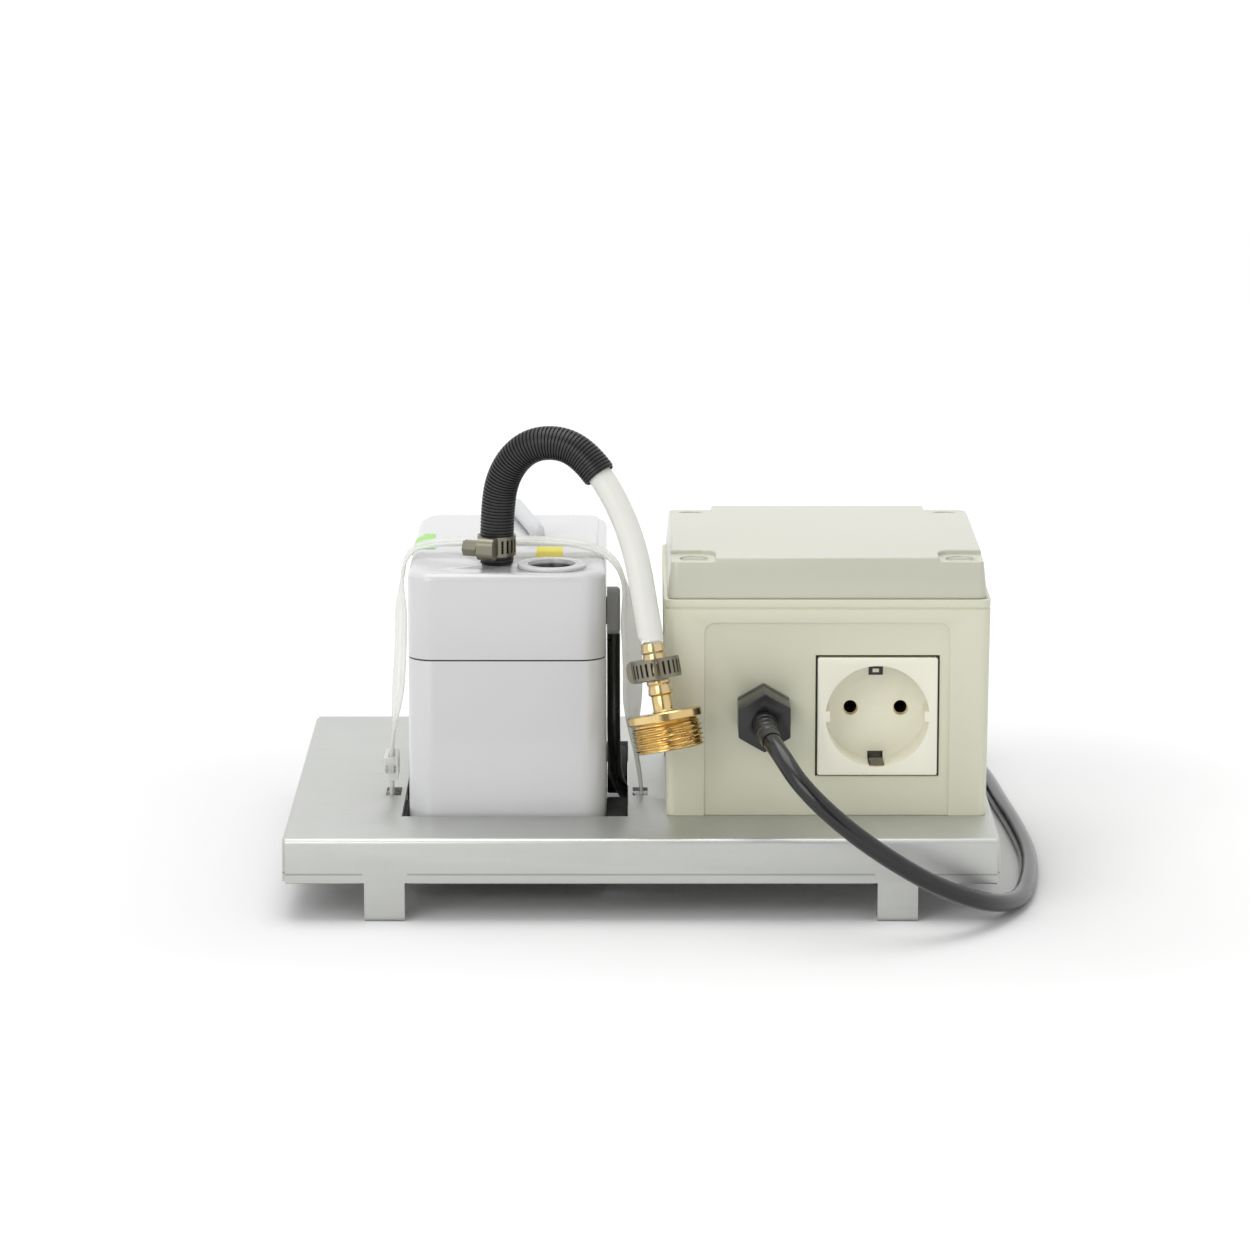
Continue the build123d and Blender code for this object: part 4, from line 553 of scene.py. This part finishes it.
# brass connector along its axis: pipe thread, flange, stem, and barbs inside the hose
fitting = {"centre": Vector((0.0088, -0.0886, 0.0736)), "axis": Vector((-0.174, 0.190, 0.966)),
           "bore": 0.0025, "sides": 72,
           "crest": 0.01322, "root": 0.01206, "pitch": 0.001814, "rowsPerTurn": 8,
           "threadLow": -0.0127, "threadHigh": -0.0026, "threadRunOut": 0.0009,
           "chamferHeight": 0.0002, "chamferDepth": 0.0004, "ridgeSlope": 1.35, "ridgeFlat": 0.15,
           "flangeAndStem": [(-0.0017, 0.01176), (-0.0017, 0.0135), (-0.0013, 0.014),
                             (0.0012, 0.014), (0.0017, 0.0134), (0.0017, 0.0049),
                             (0.0020, 0.0041), (0.0027, 0.0037), (0.0074, 0.0037),
                             (0.0079, 0.0035)],
           "barbs": 5, "barbStart": 0.0082, "barbEnd": 0.0280, "barbLow": 0.0040,
           "barbHigh": 0.0045, "barbCrest": (0.12, 0.24), "barbFoot": 0.92,
           "tip": (0.0285, 0.0029)}


def threadRadius(height, turn):
    # a ridge that winds round once in each pitch and runs out at both ends
    ridge = 1 - abs(((height / fitting["pitch"] - turn) % 1.0) * 2 - 1)
    fromEnd = min(height - fitting["threadLow"], fitting["threadHigh"] - height)
    rise = (fitting["crest"] - fitting["root"]) * between(fromEnd / fitting["threadRunOut"])
    return fitting["root"] + rise * between(ridge * fitting["ridgeSlope"] - fitting["ridgeFlat"])


def fittingRows():
    # (height, radius) from the threaded end up to the last barb; a radius of None is thread
    low, high = fitting["threadLow"], fitting["threadHigh"]
    start = low + fitting["chamferHeight"]
    count = round((high - low) / fitting["pitch"] * fitting["rowsPerTurn"])
    rows = [(low, fitting["root"] - fitting["chamferDepth"])]
    rows += [(start + (high - start) * k / count, None) for k in range(count + 1)]
    rows += [*fitting["flangeAndStem"], (fitting["barbStart"], fitting["barbLow"])]
    barb = (fitting["barbEnd"] - fitting["barbStart"]) / fitting["barbs"]
    for k in range(fitting["barbs"]):
        foot = fitting["barbStart"] + barb * k
        rows += [(foot + barb * part, fitting["barbHigh"]) for part in fitting["barbCrest"]]
        rows.append((foot + barb * fitting["barbFoot"], fitting["barbLow"]))
    rows.append(fitting["tip"])
    return rows + [(rows[-1][0], fitting["bore"]), (rows[0][0], fitting["bore"])]


def fittingMesh():
    up = fitting["axis"].normalized()
    side = up.orthogonal().normalized()
    across = up.cross(side)
    bm = bmesh.new()
    rings = []
    for height, radius in fittingRows():
        ring = []
        for k in range(fitting["sides"]):
            turn = k / fitting["sides"]
            angle = 2 * math.pi * turn
            reach = threadRadius(height, turn) if radius is None else radius
            ring.append(bm.verts.new(fitting["centre"] + up * height
                                     + reach * (math.cos(angle) * side + math.sin(angle) * across)))
        rings.append(ring)
    joinRings(bm, rings)
    mesh = meshOf("brassFitting", bm)
    smooth(mesh, 28)
    return mesh


brassFitting = piece("brassFitting", fittingMesh(), "hose_fitting")

# strap: a flat band with beaded edges, from the buckle over the pump and back under the cradle;
# each upright run turns by its twist between the start heights and back between the end heights
strap = {"y": -0.030, "half": 0.0065, "bead": 0.00075, "web": 0.00045, "step": 0.002,
         "beadWidth": 2.0, "beadShape": [(1.3, 0.95), (0.6, 0.9), (0.0, 0.35)],
         "splitAt": -0.05,
         "left": {"twist": 18.6, "start": (0.050, 0.075), "end": (0.100, 0.118)},
         "right": {"twist": 32.0, "start": (0.045, 0.072), "end": (0.096, 0.116)},
         "line": [(-0.0476, 0.0057), (-0.0918, 0.0057), (-0.0958, 0.0057), (-0.0958, 0.0097),
                  (-0.0958, 0.030), (-0.0958, 0.052), (-0.0922, 0.078), (-0.0916, 0.112),
                  (-0.0898, 0.1252), (-0.0812, 0.1292), (-0.0505, 0.1301), (-0.0230, 0.1293),
                  (-0.0096, 0.1232), (-0.0052, 0.110), (-0.0030, 0.088), (-0.0032, 0.054),
                  (0.0006, 0.034), (0.0006, 0.0097), (0.0006, 0.0057), (-0.0034, 0.0057),
                  (-0.0476, 0.0057)]}


def rampUp(value, low, high):
    ease = between((value - low) / (high - low))
    return ease * ease * (3 - 2 * ease)


def twistAt(point):
    run = strap["left"] if point.x < strap["splitAt"] else strap["right"]
    share = rampUp(point.z, *run["start"]) * (1 - rampUp(point.z, *run["end"]))
    return math.radians(run["twist"]) * share


def strapSection():
    # (across, thick) round the band: one beaded edge, and the same turned half round
    half, bead, web = strap["half"], strap["bead"], strap["web"]
    inner = half - strap["beadWidth"] * bead
    upper = [(half - inwards * bead, thick * bead) for inwards, thick in strap["beadShape"]]
    lower = [(wide, -thick) for wide, thick in reversed(upper)]
    edge = [(inner, web), *upper, *lower, (inner, -web)]
    return edge + [(-wide, -thick) for wide, thick in edge]


def strapMesh():
    route = [(x, strap["y"], z) for x, z in strap["line"]]
    line = evenPath(pathOf(cordLine("strapLine", route)), strap["step"])
    section = strapSection()
    bm = bmesh.new()
    rings = []
    for index, point in enumerate(line):
        forward = (line[(index + 1) % len(line)] - line[index - 1]).normalized()
        across = Quaternion(forward, twistAt(point)) @ Vector((0, 1, 0))
        upwards = forward.cross(across)
        rings.append([bm.verts.new(point + across * wide + upwards * thick)
                      for wide, thick in section])
    joinRings(bm, rings)
    bmesh.ops.recalc_face_normals(bm, faces=bm.faces)
    mesh = meshOf("strapBand", bm)
    smooth(mesh, 50)
    return mesh


piece("strapBand", strapMesh(), "strap")
print("fitting and strap made")

# motor core: a stack of thin plates with the core's own outline
stack = {"plate": 0.0005, "gap": 0.00008, "axis": 2}
low, high = (corner[stack["axis"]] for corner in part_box("motor_core"))
plates = round((high - low) / stack["plate"])
pitch = (high - low) / plates
plateMesh = nodes["motor_core"].data.copy()
for vertex in plateMesh.vertices:
    share = (vertex.co[stack["axis"]] - low) / (high - low)
    vertex.co[stack["axis"]] = low + share * (pitch - stack["gap"])
offset = [pitch if axis == stack["axis"] else 0.0 for axis in range(3)]
piece("coreStack", repeated("coreStack", plateMesh, plates, offset, 0.0, coreSteel), "motor_core")
print("motor core stacked:", plates, "plates")

# black strips in the gaps between the pump and the sheet's cut-out, left open where the lead goes
# down; each runs from one (x, y) corner to the other
darkGapStrips = {"low": 0.0235, "high": 0.0305, "edge": 0.0008,
        "strips": [((-0.0130, -0.0705), (-0.0051, -0.0345)),
                   ((-0.0130, 0.0010), (-0.0051, 0.0575)),
                   ((-0.0901, -0.0700), (-0.0880, -0.0385)),
                   ((-0.0901, -0.0215), (-0.0880, 0.0575))]}
for index, (near, far) in enumerate(darkGapStrips["strips"]):
    stripMesh = slab("gapFill", (*near, darkGapStrips["low"]), (*far, darkGapStrips["high"]), darkGapStrips["edge"])
    piece("gapFill" + str(index + 1), stripMesh, "entry_grommet", gapFillBlack, instead=False)

# lid seal: its outer wall bulges a little, so that the joint under the lid is nearly closed
seal = {"bulge": 0.0007, "inside": 0.45}
sealMesh = nodes["lid_gasket"].data.copy()
low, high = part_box("lid_gasket")
for axis in (0, 1):
    middle, width = (low[axis] + high[axis]) / 2, high[axis] - low[axis]
    for vertex in sealMesh.vertices:
        out = vertex.co[axis] - middle
        if abs(out) > width * seal["inside"]:
            vertex.co[axis] += math.copysign(seal["bulge"], out)
piece("lidSeal", sealMesh, "lid_gasket")
print("foam and seal made")

# blank stickers on the pump's cover, and the upper earth contact: a dark patch of painted shade for
# its slot, with its tip on it
patches = {
    "sideLabel": {"on": "pump_cover", "finish": labelGreen, "corner": (-0.0890, -0.0170, 0.1230),
                  "along": (0, 1, 0), "across": (0.75, 0, 0.66), "aim": (0.62, 0, -0.78),
                  "size": (0.0270, 0.0085), "lift": 0.00025},
    "topLabel": {"on": "pump_cover", "finish": labelYellow, "corner": (-0.0399, -0.0395, 0.135),
                 "along": (0, 1, 0), "across": (1, 0, 0), "aim": (0, 0, -1),
                 "size": (0.0259, 0.010), "lift": 0.00025},
    # painted shade where the earth contact's slot opens
    "earthSlotShade": {"on": "socket_insert", "finish": black, "corner": (0.0862, -0.110, 0.0827),
                  "along": (1, 0, 0), "across": (0, 0, 1), "aim": (0, 1, 0),
                  "size": (0.0054, 0.0034), "lift": 0.00025},
    "earthTip": {"on": "socket_insert", "finish": cream, "corner": (0.0877, -0.110, 0.0838),
                 "along": (1, 0, 0), "across": (0, 0, 1), "aim": (0, 1, 0),
                 "size": (0.0024, 0.0014), "lift": 0.0007},
}
sheet = {"grid": 0.0005, "thickness": 0.8}  # the thickness is a share of the lift


def patchMesh(name, patch):
    # a grid of points, dropped along aim onto the node's surface and lifted off it by a hair
    shape = nodes[patch["on"]].data
    surface = BVHTree.FromPolygons([vertex.co for vertex in shape.vertices],
                                   [face.vertices for face in shape.polygons])
    corner = Vector(patch["corner"])
    along, across, aim = (Vector(patch[key]).normalized() for key in ("along", "across", "aim"))
    long, wide = patch["size"]
    columns, lines = (max(round(side / sheet["grid"]), 1) for side in patch["size"])
    bm = bmesh.new()
    rows = []
    for i in range(columns + 1):
        row = []
        for j in range(lines + 1):
            start = corner + along * (long * i / columns) + across * (wide * j / lines)
            hit, normal = surface.ray_cast(start, aim)[:2]
            if normal.dot(aim) > 0:
                normal = -normal
            row.append(bm.verts.new(hit + normal * patch["lift"]))
        rows.append(row)
    for first, second in zip(rows, rows[1:]):
        for j in range(lines):
            bm.faces.new([first[j], first[j + 1], second[j + 1], second[j]])
    bmesh.ops.recalc_face_normals(bm, faces=bm.faces)
    if sum(face.normal.dot(aim) for face in bm.faces) > 0:
        bmesh.ops.reverse_faces(bm, faces=bm.faces)
    rig = placed("rig", meshOf(name, bm))
    wall = rig.modifiers.new("wall", "SOLIDIFY")
    wall.thickness = patch["lift"] * sheet["thickness"]
    wall.offset = -1
    mesh = plainMesh(rig)
    smooth(mesh, 50)
    return mesh


for name, patch in patches.items():
    piece(name, patchMesh(name, patch), patch["on"], patch["finish"], instead=False)
print("stickers laid")

# mains lead: out of the gland, down past the front, along the right side to its coil and plug
lead = {"diameter": 0.007, "bevelSteps": 6, "curveSteps": 10,
        "route": [(0.046, -0.0842, 0.0716), (0.046, -0.108, 0.0716), (0.0505, -0.125, 0.068),
                  (0.0585, -0.137, 0.0575), (0.0735, -0.1415, 0.044), (0.091, -0.1405, 0.031),
                  (0.1095, -0.134, 0.019), (0.128, -0.119, 0.0095), (0.1415, -0.092, 0.0036),
                  (0.1475, -0.060, 0.0036), (0.151, -0.020, 0.0036), (0.1495, 0.026, 0.0036),
                  (0.146, 0.072, 0.0036), (0.1435, 0.114, 0.0036), (0.1395, 0.148, 0.0036)],
        "tail": 0.015, "tailShift": (0.0005, 0.0008, -0.0004), "plugTilt": 12.0, "plugRun": 0.014}
coil = {"centre": (0.092, 0.165), "floor": 0.0036, "outer": 0.0464, "rowStep": 0.0072, "turns": 4,
        "exitTurn": 60 / 360, "climb": 0.2, "knotsPerTurn": 18}


def coilKnots():
    # two layers: inwards on the floor, up at the middle, and outwards on top of the first
    knots, total = [], coil["turns"] + coil["exitTurn"]
    count = round(total * coil["knotsPerTurn"])
    half = coil["turns"] / 2
    stretch = 1 / math.cos(math.pi / coil["knotsPerTurn"])  # the spline cuts its corners
    for k in range(count + 1):
        turn = total * k / count
        rise = between((turn - half) / coil["climb"])
        inward = min(turn, half) - max(turn - half - coil["climb"], 0.0)
        radius = (coil["outer"] - coil["rowStep"] * inward) * (stretch if 0 < k < count else 1)
        angle = 2 * math.pi * turn
        knots.append((coil["centre"][0] + radius * math.cos(angle),
                      coil["centre"][1] + radius * math.sin(angle),
                      coil["floor"] + coil["rowStep"] * rise))
    return knots


knots = coilKnots()
leaving = 2 * math.pi * coil["exitTurn"]
heading = Vector((-math.sin(leaving), math.cos(leaving), 0))
plugAxis = Vector((heading.x, heading.y, math.tan(math.radians(lead["plugTilt"])))).normalized()
tailBend = Vector(knots[-1]) + heading * lead["tail"] + Vector(lead["tailShift"])
plugEntry = tailBend + plugAxis * lead["plugRun"]
leadCurve = cordLine("mainsLead", [*lead["route"], *knots, tuple(tailBend), tuple(plugEntry)])
leadPath = pathOf(leadCurve.copy())
leadLength = lengthOf(leadPath)
leadCurve.bevel_depth = lead["diameter"] / 2
leadCurve.bevel_resolution = lead["bevelSteps"]
leadCurve.resolution_u = lead["curveSteps"]
leadCurve.use_fill_caps = True
leadCurve.materials.append(cableBlack)
mainsLead = placed("mainsLead", leadCurve)
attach(mainsLead, "base")
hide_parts("mains_lead", "mains_coil")

# strain relief: a tapered sleeve with shallow rings, thickest at the gland
relief = {"start": 0.0079, "length": 0.024, "thick": 0.0046, "thin": 0.0038, "gap": 0.00005,
          "rings": 5, "grooveAt": 0.82, "grooveDepth": 0.00035, "plainFrom": 0.9,
          "step": 0.0004, "sides": 32}


def reliefRadius(along):
    share = along / relief["length"]
    inRing = (share * relief["rings"]) % 1.0
    grooved = inRing > relief["grooveAt"] and share < relief["plainFrom"]
    taper = relief["thick"] + (relief["thin"] - relief["thick"]) * share
    return taper - (relief["grooveDepth"] if grooved else 0.0)


first, count = (round(relief[key] / relief["step"]) for key in ("start", "length"))
reliefPath = evenPath(leadPath, relief["step"])[first:first + count + 1]
reliefMesh = tubeMesh("leadRelief", reliefPath, reliefRadius,
                      lambda along: lead["diameter"] / 2 + relief["gap"], relief["sides"])
leadRelief = piece("leadRelief", reliefMesh, "mains_lead", black, instead=False)

# finger grips round the plug, laid along its axis
grips = {"count": 24, "radius": 0.0185, "sunk": 0.0005, "proud": 0.00025, "half": 0.0008,
         "start": 0.0305, "end": 0.0455, "edge": 0.00022}
grip = slab("grip", (grips["radius"] - grips["sunk"], -grips["half"], grips["start"]),
            (grips["radius"] + grips["proud"], grips["half"], grips["end"]), grips["edge"])
gripTurn = 2 * math.pi / grips["count"]
gripMesh = repeated("plugGrips", grip, grips["count"], (0, 0, 0), gripTurn, black)
alongPlug = plugAxis.to_track_quat("Z", "Y").to_matrix().to_4x4()
gripMesh.transform(Matrix.Translation(plugEntry) @ alongPlug)
plugGrips = piece("plugGrips", gripMesh, "mains_plug", instead=False)
print("lead laid:", round(leadLength, 4), "m")

lengthOf(sleevePath)

# the larger parts get their hard edges rounded over, each by its own width
rounding = {"segments": 2, "angle": 40, "merge": 0.000002, "flat": 0.6,
            "widths": {"base_plate": 0.0003, "pump_tank": 0.0003, "pump_cover": 0.0004,
                       "inlet_tube": 0.0003, "box_body": 0.0006, "box_lid": 0.0006,
                       "socket_insert": 0.0004, "gland_body": 0.0004, "gland_nut": 0.0004}}


def edgedMesh(node, width):
    bm = bmesh.new()
    bm.from_mesh(nodes[node].data)
    bmesh.ops.remove_doubles(bm, verts=bm.verts, dist=rounding["merge"])
    bmesh.ops.dissolve_limit(bm, angle_limit=math.radians(rounding["flat"]), verts=bm.verts,
                             edges=bm.edges)
    rig = placed("rig", meshOf(node + "_soft", bm))
    bevel = rig.modifiers.new("bevel", "BEVEL")
    bevel.width = width
    bevel.segments = rounding["segments"]
    bevel.limit_method = "ANGLE"
    bevel.angle_limit = math.radians(rounding["angle"])
    bevel.use_clamp_overlap = True
    mesh = plainMesh(rig)
    smooth(mesh, 35)
    return mesh


for node, width in rounding["widths"].items():
    piece(node + "_edged", edgedMesh(node, width), node)
print("edges rounded")

# floor: pale paper that glows a little away from the base, so that it reads as white there and
# keeps the shadow beside the base
paper = {"half": 12.0, "colour": (0.90, 0.90, 0.90), "rough": 0.9, "white": (1, 1, 1, 1),
         "baseHalf": (0.135, 0.112), "nearGlow": 0.26, "nearRun": (0.0, 0.28),
         "farGlow": 0.40, "farRun": (0.7, 5.0)}
reach = paper["half"]
floorMesh = bpy.data.meshes.new("floor")
floorMesh.from_pydata([(-reach, -reach, 0), (reach, -reach, 0), (reach, reach, 0),
                       (-reach, reach, 0)], [], [(0, 1, 2, 3)])
floor = placed("floor", floorMesh)
ground = Finish("paper")
seen = ground.rayIs("Camera") + ground.rayIs("Glossy") + ground.rayIs("Transmission")
beside, ahead = ((ground.axis(letter).maths("ABSOLUTE") - half).maths("MAXIMUM", 0.0)
                 for letter, half in zip("XY", paper["baseHalf"]))
away = (beside ** 2.0 + ahead ** 2.0) ** 0.5
glow = (away.step(*paper["nearRun"]) * paper["nearGlow"]
        + away.step(*paper["farRun"]) * paper["farGlow"])
floorMesh.materials.append(ground.surface(paper["colour"], paper["rough"], {
    "Emission Color": paper["white"], "Emission Strength": seen.maths("MINIMUM", 1.0) * glow}))

# world: plain fill light and a white background; gloss and metal also mirror a dark wall that
# stands behind the camera
studio = {"fill": 0.62, "wallDark": 0.80, "wallSides": (0.16, 0.30), "wallBack": (0.35, 0.6),
          "white": (1, 1, 1, 1)}
sky = Finish("studio", bpy.data.worlds.new("studio"))
bpy.context.scene.world = sky.owner
onGloss = sky.rayIs("Glossy")
backwards = 0.0 - sky.axis("Y", "Generated")
sideways = sky.axis("X", "Generated").maths("ABSOLUTE")
wall = (1 - sideways.step(*studio["wallSides"])) * backwards.step(*studio["wallBack"])
fill, backdrop = (sky.node("ShaderNodeBackground", None,
                           {"Color": studio["white"], "Strength": strength})
                  for strength in (studio["fill"], 1 - onGloss * wall * studio["wallDark"]))
shown = sky.rayIs("Camera").maths("MAXIMUM", onGloss.maths("MAXIMUM", sky.rayIs("Transmission")))
mixed = sky.node("ShaderNodeMixShader", None, {0: shown, 1: fill, 2: backdrop})
sky.node("ShaderNodeOutputWorld", None, {"Surface": mixed})

lamps = {"overhead": {"place": (-0.2, 0.1, 1.8), "target": (0, 0, 0.05), "size": (1.6, 1.2),
                      "power": 14},
         "front": {"place": (-0.9, -1.7, 1.0), "target": (0, 0, 0.08), "size": (1.2, 1.0),
                   "power": 9}}
for name, lamp in lamps.items():
    light = bpy.data.lights.new(name, "AREA")
    light.shape = "RECTANGLE"
    light.size, light.size_y = lamp["size"]
    light.energy = lamp["power"]
    made = placed(name, light)
    made.location = lamp["place"]
    aim = Vector(lamp["target"]) - Vector(lamp["place"])
    made.rotation_euler = aim.to_track_quat("-Z", "Y").to_euler()
print("stage lit")
